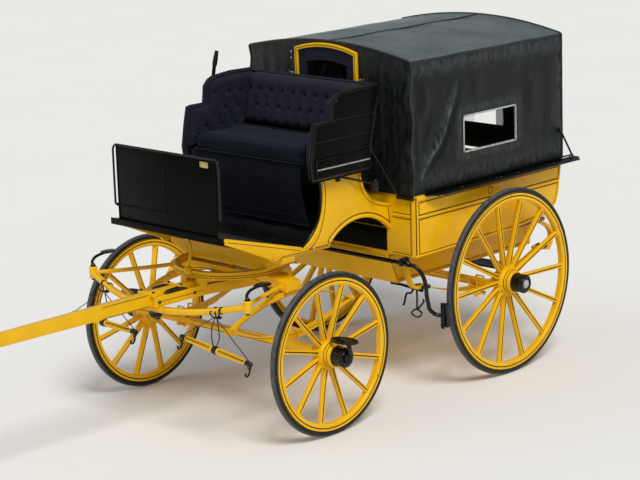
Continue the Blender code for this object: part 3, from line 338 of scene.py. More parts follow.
YELLOW = paint("yellow_paint", (0.92, 0.520, 0.0030), (0.84, 0.455, 0.0025), (0.16, 0.075, 0.012),
               (0.24, 0.42), 0.08, (0.62, 0.36, 0.03), 0.10, 0.72, 0.22)
BLACK = paint("black_paint", (0.0014, 0.0024, 0.0013), (0.0030, 0.0044, 0.0028), (0.03, 0.032, 0.026),
              (0.20, 0.36), 0.0, (0.010, 0.013, 0.009), 0.18, 0.78, 0.05)
GLOSS = paint("black_moulding", (0.0012, 0.0018, 0.0012), (0.0026, 0.0034, 0.0024), (0.06, 0.06, 0.05),
              (0.12, 0.22), 0.06, (0.010, 0.012, 0.009), 0.15, 0.76, 0.26)
IRON = paint("black_iron", (0.0016, 0.0016, 0.0018), (0.0036, 0.0036, 0.0040), (0.06, 0.038, 0.022),
             (0.14, 0.30), 0.08, (0.012, 0.011, 0.010), 0.22, 0.74, 0.30)
LINING = paint("black_lining", (0.0035, 0.0026, 0.0012), (0.0090, 0.0060, 0.0015), (0.40, 0.21, 0.01),
               (0.3, 0.5), 0.0, (0.05, 0.03, 0.005), 0.10, 0.72, 0.12)
TYRE = rubber("tyre_rubber", (0.0085, 0.0090, 0.0100), (0.040, 0.043, 0.048), (0.125, 0.132, 0.142))
CLOTH = cloth("blue_cloth", (0.0088, 0.0094, 0.0205), (0.0215, 0.0225, 0.0420))
CUSHION = cloth("cushion_cloth", (0.0026, 0.0052, 0.0120), (0.0072, 0.0118, 0.0215))
CANVAS = canvas("black_canvas")
LEATHER = leather("black_leather", (0.0035, 0.0035, 0.0040))
MAT = ribbed_mat("rubber_mat")
WOOD = wood("inner_wood")
BRASS = metal("brass", (0.62, 0.50, 0.22), 0.35)
STEEL = metal("bright_steel", (0.60, 0.62, 0.63), 0.30)
PANE = glazing("window_pane")
SLOT_MATERIAL = {"yellow_paint": YELLOW, "tyre_rubber": TYRE, "black_paint": BLACK, "black_iron": IRON,
                 "blue_cloth": CLOTH, "black_canvas": CANVAS, "rubber_mat": MAT, "inner_wood": WOOD}


# Mesh helpers

def piece(name, mesh, material, body, replaces=(), angle=35, weld=True):
    """Turn a mesh into a named piece that rides on a body."""
    if weld:
        bmesh.ops.remove_doubles(mesh, verts=mesh.verts, dist=0.00001)
    bmesh.ops.recalc_face_normals(mesh, faces=mesh.faces)
    bmesh.ops.translate(mesh, verts=mesh.verts, vec=SHIFT)
    data = bpy.data.meshes.new(name)
    mesh.to_mesh(data)
    mesh.free()
    data.materials.append(material)
    data.shade_smooth()
    data.set_sharp_from_angle(angle=math.radians(angle))
    made = bpy.data.objects.new(name, data)
    bpy.context.scene.collection.objects.link(made)
    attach(made, body)
    if replaces:
        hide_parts(*replaces)
    return made


def set_wear(made, amount):
    """Store how worn each point is, for the materials that read it; on the hood canvas this also stores a
    painted highlight along the big crease.
    """
    layer = made.data.attributes.new("wear", "FLOAT", "POINT")
    layer.data.foreach_set("value", [amount(v.co - SHIFT) for v in made.data.vertices])


TRIM = {}


def trim(body, material):
    """The mesh that gathers the small pieces of one material on one body."""
    return TRIM.setdefault((body, material.name.removesuffix("_look")), (bmesh.new(), material))[0]


def finish_trim():
    for (body, name), (mesh, material) in sorted(TRIM.items(), key=lambda item: item[0]):
        piece(f"{body}_{name}_trim", mesh, material, body, angle=32, weld=False)


def turns(count):
    """The angles that divide a full turn into count steps."""
    return [2 * math.pi * k / count for k in range(count)]


def round_section(radius, sides=10):
    turn = [2 * math.pi * (i + 0.5) / sides for i in range(sides)]
    return [(radius * math.cos(a), radius * math.sin(a)) for a in turn]


def flat_section(width, depth, corner=0.0012):
    """Rectangle with cut corners."""
    w, d, c = width / 2, depth / 2, min(corner, width / 4, depth / 4)
    return [(-w + c, -d), (w - c, -d), (w, -d + c), (w, d - c), (w - c, d), (-w + c, d), (-w, d - c),
            (-w, -d + c)]


def bead_section(radius, sides=6):
    """Half-round, flat side at b = 0."""
    return [(radius * math.cos(math.pi * i / sides), radius * math.sin(math.pi * i / sides))
            for i in range(sides + 1)]


def sweep(mesh, points, section, side=None, loop=False, scale=None):
    """Bar along points; side is the direction that the section's first axis keeps."""
    path = [Vector(p) for p in points]
    count = len(path)
    rows = []
    across = None
    for i, point in enumerate(path):
        before = path[i - 1] if (loop or i) else point
        after = path[(i + 1) % count] if (loop or i < count - 1) else point
        here = Vector((0, 0, 0))
        if (point - before).length:
            here += (point - before).normalized()
        if (after - point).length:
            here += (after - point).normalized()
        here.normalize()
        wanted = Vector(side) if side else (across or Vector((0, 0, 1)).cross(here))
        if wanted.length < 0.01:
            wanted = Vector((1, 0, 0))
        across = (wanted - here * wanted.dot(here)).normalized()
        upward = here.cross(across)
        size = scale[i] if scale else 1.0
        rows.append([mesh.verts.new(point + size * (across * a + upward * b)) for a, b in section])
    pairs = list(zip(rows, rows[1:])) + ([(rows[-1], rows[0])] if loop else [])
    for row, after in pairs:
        for i in range(len(section)):
            j = (i + 1) % len(section)
            mesh.faces.new((row[i], row[j], after[j], after[i]))
    if not loop:
        mesh.faces.new(rows[0])
        mesh.faces.new(rows[-1][::-1])


def tube(mesh, points, radius, sides=10, loop=False):
    sweep(mesh, points, round_section(radius, sides), loop=loop)


def revolve(mesh, profile, centre, axis="x", segments=32, ring=False):
    """Turn (along, radius) points about an axis; a ring profile is a closed loop."""
    named = {"x": (1, 0, 0), "y": (0, 1, 0), "z": (0, 0, 1)}
    along = Vector(named[axis] if isinstance(axis, str) else axis).normalized()
    first = along.orthogonal().normalized()
    second = along.cross(first)
    rows = []
    for position, radius in profile:
        base = Vector(centre) + along * position
        if radius == 0:
            rows.append([mesh.verts.new(base)] * segments)
            continue
        rows.append([mesh.verts.new(base + radius * (first * math.cos(t) + second * math.sin(t)))
                     for t in turns(segments)])
    if ring:
        rows.append(rows[0])
    for row, after in zip(rows, rows[1:]):
        for i in range(segments):
            j = (i + 1) % segments
            corners = []
            for vert in (row[i], row[j], after[j], after[i]):
                if vert not in corners:
                    corners.append(vert)
            if len(corners) > 2:
                mesh.faces.new(corners)


def strip(mesh, points, normal, width=LINE, loop=False, lift=LIFT):
    """Flat painted line along points, lifted off a surface by its normal."""
    path = [Vector(p) for p in points]
    count = len(path)
    rows = []
    for i, point in enumerate(path):
        up = Vector(normal(point) if callable(normal) else normal).normalized()
        before = path[i - 1] if (loop or i) else point
        after = path[(i + 1) % count] if (loop or i < count - 1) else point
        one = (point - before).normalized() if (point - before).length else (after - point).normalized()
        two = (after - point).normalized() if (after - point).length else one
        bend = max(0.35, (one + two).length / 2)
        across = (one + two).cross(up).normalized() * (width / 2 / bend)
        rows.append((mesh.verts.new(point + up * lift + across), mesh.verts.new(point + up * lift - across)))
    pairs = list(zip(rows, rows[1:])) + ([(rows[-1], rows[0])] if loop else [])
    for (a, b), (c, d) in pairs:
        mesh.faces.new((a, b, d, c))


def stud(mesh, point, normal, radius=0.006, height=0.004, sides=10):
    """Domed bolt head."""
    profile = [(-0.001, 0), (-0.001, radius), (height * 0.45, radius), (height * 0.85, radius * 0.7),
               (height, 0)]
    revolve(mesh, profile, point, normal, sides)


def nut(mesh, point, normal, radius=0.009, height=0.008):
    """Hexagon nut with the bolt's end above it."""
    revolve(mesh, [(-0.001, 0), (-0.001, radius), (height * 0.85, radius), (height, radius * 0.88),
                   (height, 0)], point, normal, 6)
    stud(mesh, Vector(point) + Vector(normal).normalized() * height, normal, radius * 0.5, 0.004, 8)


def plate(mesh, low, high, cut=0.002):
    """Block from its low to its high corner with cut edges."""
    made = bmesh.new()
    bmesh.ops.create_cube(made, size=1.0)
    low, high = Vector(low), Vector(high)
    size = high - low
    for vert in made.verts:
        vert.co = low + Vector((size[k] * (vert.co[k] + 0.5) for k in range(3)))
    cut = min(cut, min(size) / 3)
    bmesh.ops.bevel(made, geom=made.edges[:], offset=cut, segments=2, affect="EDGES", profile=0.5)
    join(mesh, made)


def join(mesh, other):
    data = bpy.data.meshes.new("joining")
    other.to_mesh(data)
    other.free()
    mesh.from_mesh(data)
    bpy.data.meshes.remove(data)


def bezier(start, handle, end, steps):
    points = []
    for i in range(steps + 1):
        t = i / steps
        points.append(tuple((1 - t) ** 2 * a + 2 * t * (1 - t) * h + t * t * b
                            for a, h, b in zip(start, handle, end)))
    return points


def spline(points, steps=6, loop=False):
    """Smooth curve through the points."""
    path = [Vector(p) for p in points]
    count = len(path)
    result = []
    for i in range(count if loop else count - 1):
        p1, p2 = path[i], path[(i + 1) % count]
        p0 = path[i - 1] if (loop or i) else p1
        p3 = path[(i + 2) % count] if (loop or i < count - 2) else p2
        for k in range(steps):
            t = k / steps
            result.append(0.5 * (2 * p1 + (p2 - p0) * t + (2 * p0 - 5 * p1 + 4 * p2 - p3) * t * t
                                 + (3 * p1 - p0 - 3 * p2 + p3) * t ** 3))
    return result if loop else result + [path[-1]]


def arc(centre, radius, start, stop, steps):
    turn = [math.radians(start + (stop - start) * i / steps) for i in range(steps + 1)]
    return [(centre[0] + radius * math.cos(a), centre[1] + radius * math.sin(a)) for a in turn]


def soften(node, width):
    """Copy of a CAD node with rounded edges that is shown in its place."""
    mesh = bmesh.new()
    mesh.from_mesh(NODES[node].data)
    bmesh.ops.remove_doubles(mesh, verts=mesh.verts, dist=0.00002)
    bmesh.ops.translate(mesh, verts=mesh.verts, vec=-SHIFT)
    bmesh.ops.dissolve_limit(mesh, angle_limit=math.radians(1.5), verts=mesh.verts[:], edges=mesh.edges[:])
    sharp = [e for e in mesh.edges if len(e.link_faces) == 2 and e.calc_face_angle(0) > math.radians(32)]
    bmesh.ops.bevel(mesh, geom=sharp, offset=width, segments=2, affect="EDGES", clamp_overlap=True,
                    profile=0.6)
    slot = SLOT_OF[node]
    piece(f"{node}_look", mesh, SLOT_MATERIAL[slot], BODY_OF[node], [node], weld=False)


# Wheels

FRONT_RADIUS = 0.457
REAR_RADIUS = 0.559
FRONT_TRACK_HALF = 0.753
REAR_TRACK_HALF = 0.770
WHEELBASE = 1.519
FRONT_SPOKES = 12
REAR_SPOKES = 14
TYRE_DEPTH = 0.028
FELLOE_DEPTH = 0.044
FELLOE_HALF = 0.021
DISH = 0.033


def spoke_section(width, depth):
    w, d = width / 2, depth / 2
    return [(d, -w * 0.80), (d, w * 0.80), (d * 0.65, w), (-d * 0.1, w), (-d * 0.8, w * 0.55), (-d, w * 0.18),
            (-d, -w * 0.18), (-d * 0.8, -w * 0.55), (-d * 0.1, -w), (d * 0.65, -w)]


def wheel(end, side, radius, track, axle_y, spokes):
    sign = "left" if side > 0 else "right"
    name = f"{end}_{sign}"
    body = f"wheel_{end}_{sign}"
    centre = Vector((side * track, axle_y, radius))
    rim = radius - TYRE_DEPTH
    inner = rim - FELLOE_DEPTH
    nave_x = -DISH
    wooden = bmesh.new()
    outward = [(-FELLOE_HALF, rim), (FELLOE_HALF, rim), (FELLOE_HALF, inner + 0.006),
               (FELLOE_HALF - 0.006, inner), (-FELLOE_HALF + 0.006, inner), (-FELLOE_HALF, inner + 0.006)]
    revolve(wooden, [(side * a, r) for a, r in outward], centre, "x", 120, ring=True)
    nave = [(nave_x - 0.066, 0.022), (nave_x - 0.066, 0.046), (nave_x - 0.062, 0.050),
            (nave_x - 0.050, 0.052), (nave_x - 0.046, 0.060), (nave_x - 0.040, 0.066),
            (nave_x - 0.030, 0.078), (nave_x - 0.026, 0.082), (nave_x + 0.026, 0.082),
            (nave_x + 0.031, 0.080), (nave_x + 0.036, 0.075), (nave_x + 0.045, 0.073),
            (nave_x + 0.050, 0.0715), (nave_x + 0.070, 0.068), (nave_x + 0.078, 0.066),
            (nave_x + 0.081, 0.063), (nave_x + 0.081, 0.022)]
    revolve(wooden, [(side * a, r) for a, r in nave], centre, "x", 56, ring=True)
    lines = bmesh.new()
    stations = [(0.0, 0.030, 0.046), (0.10, 0.029, 0.040), (0.35, 0.0265, 0.034), (0.70, 0.0265, 0.032),
                (0.90, 0.028, 0.033), (1.0, 0.031, 0.035)]
    for number in range(spokes):
        turn = 2 * math.pi * (number + 0.5) / spokes
        away = Vector((0, math.sin(turn), math.cos(turn)))
        start = centre + Vector((side * nave_x, 0, 0)) + away * 0.074
        stop = centre + away * (inner + 0.006)
        run = (stop - start).normalized()
        tangent = Vector((side, 0, 0)).cross(away)
        facing = tangent.cross(run) * side
        facing = facing if facing.x * side > 0 else -facing
        rows = []
        for share, width, depth in stations:
            middle = start.lerp(stop, share)
            rows.append([wooden.verts.new(middle + facing * a + tangent * b)
                         for a, b in spoke_section(width, depth)])
        for row, after in zip(rows, rows[1:]):
            for i in range(10):
                wooden.faces.new((row[i], row[(i + 1) % 10], after[(i + 1) % 10], after[i]))
        wooden.faces.new(rows[0])
        wooden.faces.new(rows[-1])
        middles = [start.lerp(stop, 0.06 + (0.97 - 0.06) * k / 8) for k in range(9)]
        depths = [0.5 * (0.046 if k == 0 else 0.040 if k == 1 else 0.035 if k < 4 else 0.0335)
                  for k in range(9)]
        strip(lines, [p + facing * d for p, d in zip(middles, depths)], facing, 0.0058)
        strip(lines, [p - facing * (d + 0.0002) for p, d in zip(middles[1:], depths[1:])], -facing, 0.004)
    piece(f"{name}_wheel_wood", wooden, YELLOW, body, [f"{name}_wheel"], angle=38)
    for face in SIDES:
        for ring, width in ((rim - 0.020, 0.0058), (rim - 0.0025, 0.0046)):
            points = [centre + Vector((face * FELLOE_HALF, ring * math.cos(t), ring * math.sin(t)))
                      for t in turns(120)]
            strip(lines, points, (face, 0, 0), width, loop=True)
    for along, ring in ((0.0455, 0.0732), (0.064, 0.0692), (-0.045, 0.0605)):
        points = [centre + Vector((side * (nave_x + along), ring * math.cos(t), ring * math.sin(t)))
                  for t in turns(56)]
        strip(lines, points, lambda p: (0, p.y - centre.y, p.z - centre.z), 0.004, loop=True)
    piece(f"{name}_wheel_lines", lines, LINING, body, weld=False)
    channel = bmesh.new()
    half = 0.019
    revolve(channel, [(side * a, r) for a, r in ((-half, rim + 0.0003), (half, rim + 0.0003),
                                                 (half, rim + 0.007), (half - 0.003, rim + 0.008),
                                                 (-half + 0.003, rim + 0.008), (-half, rim + 0.007))],
            centre, "x", 120, ring=True)
    piece(f"{name}_channel", channel, IRON, body, angle=30)
    tread = [(-half + 0.003, rim + 0.006), (half - 0.003, rim + 0.006), (half - 0.0005, rim + 0.012),
             (half - 0.001, radius - 0.011), (half - 0.004, radius - 0.0045),
             (half - 0.010, radius - 0.0008), (0.003, radius), (-0.003, radius),
             (-half + 0.010, radius - 0.0008), (-half + 0.004, radius - 0.0045),
             (-half + 0.001, radius - 0.011), (-half + 0.0005, rim + 0.012)]
    rubber_ring = bmesh.new()
    revolve(rubber_ring, [(side * a, r) for a, r in tread], centre, "x", 144, ring=True)
    for vert in rubber_ring.verts:
        out = vert.co - centre
        flat = Vector((0, out.y, out.z))
        if flat.length > radius - 0.013:
            wear = 0.0012 * noise.noise(vert.co * 14.0 + Vector((3 * side, 0, 0))) - 0.0006
            vert.co += flat.normalized() * min(0.0, wear)
    made = piece(f"{name}_tyre_look", rubber_ring, TYRE, body, [f"{name}_tyre"], angle=40)

    def tread_wear(point):
        reach = math.hypot(point.y - centre.y, point.z - centre.z)
        return min(1.0, max(0.0, (reach - radius + 0.0075) / 0.004))

    set_wear(made, tread_wear)
    iron = trim(body, IRON)
    cap_start, cap_end = nave_x + 0.0815, 0.127
    cap = [(cap_start, 0), (cap_start, 0.0555), (cap_start + 0.003, 0.0570), (cap_start + 0.008, 0.0570),
           (cap_start + 0.010, 0.0545), (cap_end - 0.022, 0.0545), (cap_end - 0.016, 0.0565),
           (cap_end - 0.011, 0.0560), (cap_end - 0.009, 0.0470), (cap_end - 0.002, 0.0450),
           (cap_end, 0.0430), (cap_end, 0.0330), (cap_end - 0.004, 0.0310), (cap_end - 0.004, 0)]
    revolve(iron, [(side * a, r) for a, r in cap], centre, "x", 40)
    for k in range(24):
        t = 2 * math.pi * k / 24
        low = centre + Vector((side * (cap_start + 0.011), 0.0545 * math.cos(t), 0.0545 * math.sin(t)))
        high = centre + Vector((side * (cap_end - 0.023), 0.0545 * math.cos(t), 0.0545 * math.sin(t)))
        sweep(iron, [low, high], bead_section(0.0022, 4), side=(0, -math.sin(t), math.cos(t)))
    for k in range(6):
        t = 2 * math.pi * (k + 0.5) / 6
        joint = [centre + Vector((side * FELLOE_HALF, r * math.cos(t), r * math.sin(t)))
                 for r in (inner + 0.004, rim)]
        strip(trim(body, LINING), joint, (side, 0, 0), 0.0012, lift=0.0005)
        for share in (-0.035, 0.035):
            spot = centre + Vector((side * (FELLOE_HALF - 0.0005), (inner + 0.010) * math.cos(t + share),
                                    (inner + 0.010) * math.sin(t + share)))
            stud(trim(body, YELLOW), spot, (side, 0, 0), 0.0042, 0.0022, 8)
    if end == "rear":
        disc = [(cap_end - 0.0045, 0), (cap_end - 0.0045, 0.026), (cap_end - 0.002, 0.025),
                (cap_end - 0.0015, 0)]
        revolve(trim(body, STEEL), [(side * a, r) for a, r in disc], centre, "x", 28)
        for k in range(6):
            t = 2 * math.pi * k / 6
            stud(iron, centre + Vector((side * cap_end, 0.038 * math.cos(t), 0.038 * math.sin(t))),
                 (side, 0, 0), 0.0035, 0.002, 8)


def wheels():
    for side in SIDES:
        wheel("front", side, FRONT_RADIUS, FRONT_TRACK_HALF, 0.0, FRONT_SPOKES)
        wheel("rear", side, REAR_RADIUS, REAR_TRACK_HALF, WHEELBASE, REAR_SPOKES)


# Axles and springs

def front_axle():
    yellow = bmesh.new()
    z = FRONT_RADIUS
    inner = FRONT_TRACK_HALF - DISH - 0.066 - 0.004
    section = flat_section(0.044, 0.044, 0.005)
    stations = [-inner, -inner + 0.05, -0.47, -0.455, -0.385, -0.37, -0.2, 0, 0.2, 0.37, 0.385, 0.455, 0.47,
                inner - 0.05, inner]
    sizes = [0.96, 0.96, 0.96, 1.0, 1.0, 0.94, 0.86, 0.84, 0.86, 0.94, 1.0, 1.0, 0.96, 0.96, 0.96]
    sweep(yellow, [(x, 0, z) for x in stations], section, side=(0, 1, 0), scale=sizes)
    piece("front_axle_beam", yellow, YELLOW, "forecarriage", ["front_axle"])
    iron = trim("forecarriage", IRON)
    for side in SIDES:
        revolve(iron, [(side * a, r) for a, r in ((0.640, 0), (0.640, 0.034), (0.644, 0.040),
                                                  (0.650, 0.040), (0.652, 0.030), (0.652, 0))], (0, 0, z),
                "x", 32)
        tube(iron, [(side * 0.64, 0, z), (side * 0.880, 0, z)], 0.0205, 20)
        end = 0.905
        revolve(iron, [(side * a, r) for a, r in ((0.876, 0), (0.876, 0.030), (0.880, 0.032),
                                                  (0.888, 0.032), (0.890, 0.024), (0.898, 0.022),
                                                  (0.900, 0.012), (end, 0.010), (end, 0))], (0, 0, z), "x",
                28)
        stalk = [(side * 0.893, 0, z - 0.022), (side * 0.894, 0, z + 0.030), (side * 0.893, 0, z + 0.066),
                 (side * 0.880, 0, z + 0.084), (side * 0.866, 0, z + 0.088)]
        sweep(iron, spline(stalk, 4), flat_section(0.026, 0.009), side=(0, 1, 0))
        for drop in (-0.012, 0.022):
            nut(iron, (side * 0.898, 0, z + drop), (side, 0, 0), 0.0075, 0.006)
        tread(iron, side, z + 0.093)


def tread(mesh, side, z):
    """Open oval step on the axle arm's end: a rim, a middle bar and cross ribs."""
    middle = Vector((side * 0.8575, 0, z))
    oval = [middle + Vector((0.086 * math.cos(t), 0.049 * math.sin(t), 0)) for t in turns(40)]
    sweep(mesh, oval, flat_section(0.012, 0.010), side=None, loop=True)
    sweep(mesh, [middle + Vector((-0.082, 0, 0)), middle + Vector((0.082, 0, 0))],
          flat_section(0.010, 0.009), side=(0, 1, 0))
    for i in range(-3, 4):
        x = i * 0.022
        y = 0.049 * math.sqrt(1 - (x / 0.086) ** 2)
        sweep(mesh, [middle + Vector((x, -y, 0)), middle + Vector((x, y, 0))], flat_section(0.006, 0.008),
              side=(1, 0, 0))


def leaves(mesh, x, width, front, rear, dip, thick, count, outward, lines=None, face=1):
    """A pack of leaves from eye to eye. outward is +1 where the short leaves lie on top."""
    each = thick / count
    for k in range(count):
        trim_off = 0.0 if k == 0 else 0.06 + 0.095 * k
        offset = outward * (-thick / 2 + each * (k + 0.5))
        path = []
        steps = 22
        for i in range(steps + 1):
            t = trim_off + (1 - 2 * trim_off) * i / steps
            y = front[0] + (rear[0] - front[0]) * t
            z = front[1] + (rear[1] - front[1]) * t - dip * 4 * t * (1 - t)
            slope = -dip * 4 * (1 - 2 * t) / (rear[0] - front[0])
            blend_in = min(1.0, 2.6 * min(t, 1 - t)) if k == 0 else 1.0
            shift = offset * blend_in if k == 0 else offset * min(1.0, 0.45 + 1.4 * min(t, 1 - t))
            path.append((x, y - slope * shift, z + shift))
        sizes = [0.55] + [0.9] + [1.0] * (steps - 3) + [0.9, 0.55] if k else [1.0] * (steps + 1)
        sweep(mesh, path, flat_section(width, each * 0.94, 0.0016), side=(1, 0, 0),
              scale=None if k == 0 else sizes)
        if lines is not None and k == 0:
            side_path = [(x + face * width / 2, y, z) for _, y, z in path[1:-1]]
            strip(lines, side_path, (face, 0, 0), 0.0022)


def front_springs():
    lines = trim("forecarriage", LINING)
    eye_z, top, y0, half, thick = 0.616, 0.764, 0.035, 0.474, 0.034
    for side in SIDES:
        mesh = bmesh.new()
        x = side * 0.42
        front, rear = (y0 - half, eye_z), (y0 + half, eye_z)
        leaves(mesh, x, 0.043, front, rear, -(top - thick / 2 - eye_z), thick, 4, 1, lines, side)
        leaves(mesh, x, 0.043, front, rear, eye_z - 0.481 - thick / 2, thick, 4, -1, lines, side)
        for y in (front[0], rear[0]):
            revolve(mesh, [(-0.026, 0), (-0.026, 0.015), (-0.022, 0.016), (0.022, 0.016), (0.026, 0.015),
                           (0.026, 0)], (x, y, eye_z), "x", 20)
            nut(mesh, (x + side * 0.026, y, eye_z), (side, 0, 0), 0.011, 0.008)
            nut(mesh, (x - side * 0.026, y, eye_z), (-side, 0, 0), 0.010, 0.006)
        plate(mesh, (x - 0.0225, -0.030, 0.4795), (x + 0.0225, 0.065, 0.486), 0.001)
        for y in (-0.022, 0.058):
            for across in (-0.026, 0.026):
                tube(mesh, [(x + across, y, 0.447), (x + across, y, 0.535)], 0.0045, 8)
            tube(mesh, [(x - 0.026, y, 0.535), (x, y, 0.5375), (x + 0.026, y, 0.535)], 0.0045, 8)
        plate(mesh, (x - 0.034, -0.036, 0.428), (x + 0.034, 0.072, 0.436), 0.0015)
        for y in (-0.022, 0.058):
            for across in (-0.026, 0.026):
                nut(mesh, (x + across, y, 0.428), (0, 0, -1), 0.008, 0.006)
        plate(mesh, (x - 0.0235, y0 - 0.045, 0.730), (x + 0.0235, y0 + 0.045, 0.7645), 0.002)
        piece(f"front_spring_{'left' if side > 0 else 'right'}_leaves", mesh, YELLOW, "forecarriage",
              [f"front_spring_{'left' if side > 0 else 'right'}"], angle=30, weld=False)


def rear_springs():
    front, rear, thick, bed_top, wheelbase = (1.055, 0.585), (2.10, 0.612), 0.034, 0.540, WHEELBASE
    seat = bed_top - 0.040 - 0.0003
    share = (wheelbase - front[0]) / (rear[0] - front[0])
    level = front[1] + (rear[1] - front[1]) * share
    dip = (level - (seat - 0.004 - thick / 2)) / (4 * share * (1 - share))
    for side in SIDES:
        name = f"rear_spring_{'left' if side > 0 else 'right'}"
        mesh = bmesh.new()
        x = side * 0.515
        leaves(mesh, x, 0.045, front, rear, dip, thick, 5, -1, trim("body", LINING), side)
        for y, z in (front, rear):
            revolve(mesh, [(-0.0235, 0), (-0.0235, 0.0145), (0.0235, 0.0145), (0.0235, 0)], (x, y, z), "x",
                    20)
        plate(mesh, (x - 0.0235, wheelbase - 0.045, seat - thick - 0.012),
              (x + 0.0235, wheelbase + 0.045, seat - 0.0005), 0.002)
        for y in (wheelbase - 0.034, wheelbase + 0.034):
            for across in (-0.029, 0.029):
                tube(mesh, [(x + across, y, seat - thick - 0.028), (x + across, y, bed_top + 0.006)], 0.005,
                     8)
                nut(mesh, (x + across, y, seat - thick - 0.024), (0, 0, -1), 0.009, 0.007)
            tube(mesh, [(x - 0.029, y, bed_top + 0.006), (x + 0.029, y, bed_top + 0.006)], 0.005, 8)
        plate(mesh, (x - 0.037, wheelbase - 0.045, seat - thick - 0.023),
              (x + 0.037, wheelbase + 0.045, seat - thick - 0.012), 0.0015)
        piece(name + "_leaves", mesh, YELLOW, "body", [name], angle=30, weld=False)
        iron = trim("body", IRON)
        for y, z, back in ((front[0], front[1], -1), (rear[0], rear[1], 1)):
            for across in (-0.027, 0.027):
                low = Vector((x + across, y, z))
                high = low + Vector((0, back * 0.048, 0.006))
                sweep(iron, [low + (low - high) * 0.25, high + (high - low) * 0.25],
                      flat_section(0.005, 0.024), side=(1, 0, 0))
                for spot in (low, high):
                    nut(iron, spot + Vector((math.copysign(0.0025, across), 0, 0)),
                        (math.copysign(1, across), 0, 0), 0.010, 0.007)


# Mouldings and lining

def ridge(radius, height=None, sides=6):
    """Half-round moulding whose first axis stands out from the face."""
    high = height or radius
    return [(high * math.sin(math.pi * i / sides), radius * math.cos(math.pi * i / sides))
            for i in range(sides + 1)]


def bead(body, material, points, out, radius, height=None, loop=False):
    sweep(trim(body, material), points, ridge(radius, height), side=out, loop=loop)


def line(body, points, out, width=0.004, loop=False):
    strip(trim(body, LINING), points, out, width, loop)


def shifted(points, distance):
    """The 2-D points moved sideways by distance, to the left of their direction."""
    moved = []
    for i, point in enumerate(points):
        before = points[max(i - 1, 0)]
        after = points[min(i + 1, len(points) - 1)]
        dy, dz = after[0] - before[0], after[1] - before[1]
        size = math.hypot(dy, dz)
        moved.append((point[0] - dz / size * distance, point[1] + dy / size * distance))
    return moved


def slab(mesh, outline, low, high, cut=0.002):
    """Outline in y and z drawn out from x low to x high, with cut edges."""
    made = bmesh.new()
    ends = [[made.verts.new((x, y, z)) for y, z in outline] for x in (low, high)]
    made.faces.new(ends[0])
    made.faces.new(ends[1])
    for i in range(len(outline)):
        j = (i + 1) % len(outline)
        made.faces.new((ends[0][i], ends[0][j], ends[1][j], ends[1][i]))
    bmesh.ops.recalc_face_normals(made, faces=made.faces)
    sharp = [e for e in made.edges if e.calc_face_angle(0) > math.radians(30)]
    bmesh.ops.bevel(made, geom=sharp, offset=cut, segments=2, affect="EDGES", profile=0.5)
    join(mesh, made)


def floor_top(y):
    return 1.136 - 0.272 * (y + 0.457)


def boot_looks():
    front_edge = bezier((0.274, 1.341), (0.32, 1.08), (0.115, floor_top(0.115)), 20)
    rear_edge = bezier((0.593, 1.335), (0.605, 1.15), (0.8297, 1.112), 16)
    arch_in = arc((0.575, 0.715), 0.3635, 133.5, 44.5, 28)
    front_line = [tuple(p) for p in spline([(0.292, 1.334), (0.303, 1.285), (0.302, 1.214), (0.286, 1.132),
                                            (0.250, 1.045), (0.208, 0.996), (0.163, 0.967)], 4)]
    arch_line = arc((0.575, 0.715), 0.380, 133.0, 48.6, 28)
    outline = front_line + [(0.313, 0.966)] + arch_line + [(0.813, 1.097)]
    rear_line = [tuple(p) for p in spline([(0.578, 1.330), (0.586, 1.274), (0.615, 1.217), (0.662, 1.165),
                                           (0.730, 1.129), (0.813, 1.108)], 4)]
    rocker = [(-0.135, 0.966), (-0.112, 0.942), (-0.085, 0.940), (-0.045, 0.9584), (0.325, 0.9473)]
    for side in SIDES:
        x = side * 0.455
        out = (side, 0, 0)

        def on(points, rise=0.0):
            return [(x + side * rise, y, z) for y, z in points]

        line("body", on(outline), out, 0.0055)
        line("body", on(rear_line), out, 0.0055)
        line("body", on(shifted(rear_line, -0.011)), out, 0.0022)
        bead("body", YELLOW, on(shifted(front_edge[1:-1], 0.0095)), out, 0.0080, 0.006)
        bead("body", YELLOW, on(shifted(rear_edge[1:], -0.009)), out, 0.0080, 0.006)
        bead("body", YELLOW, on(arch_in), out, 0.0090, 0.0065)
        bead("body", YELLOW, on(shifted(front_line, -0.0055)), out, 0.0022, 0.0025)
        bead("body", YELLOW, on(shifted(arch_line, -0.0058)), out, 0.0022, 0.0025)
        line("body", on(shifted(rocker, 0.008)), out, 0.0026)
        deck = [(-0.455, floor_top(-0.455) - 0.012), (0.09, floor_top(0.09) - 0.012)]
        line("body", on(deck), out, 0.0030)
        moulding = [(side * 0.4400, y, z) for y, z in shifted(front_edge, -0.003)]
        tube(trim("body", GLOSS), moulding, 0.0095, 12)
        nose = [(side * 0.4430, y, floor_top(y) + 0.001) for y in (-0.462, -0.2, 0.112)]
        tube(trim("body", YELLOW), nose, 0.006, 8)
        for y in (-0.40, -0.24, -0.08):
            nut(trim("body", IRON), (side * 0.30, y, floor_top(y) - 0.0222), (0, 0, -1), 0.009, 0.008)
            stud(trim("body", IRON), (side * 0.38, y, floor_top(y)), (0, 0.26, 1), 0.007, 0.003)
        for y, z in ((-0.05, 0.975), (0.06, 0.972), (0.20, 0.965)):
            stud(trim("body", YELLOW), (x, y, z), out, 0.0075, 0.0035)


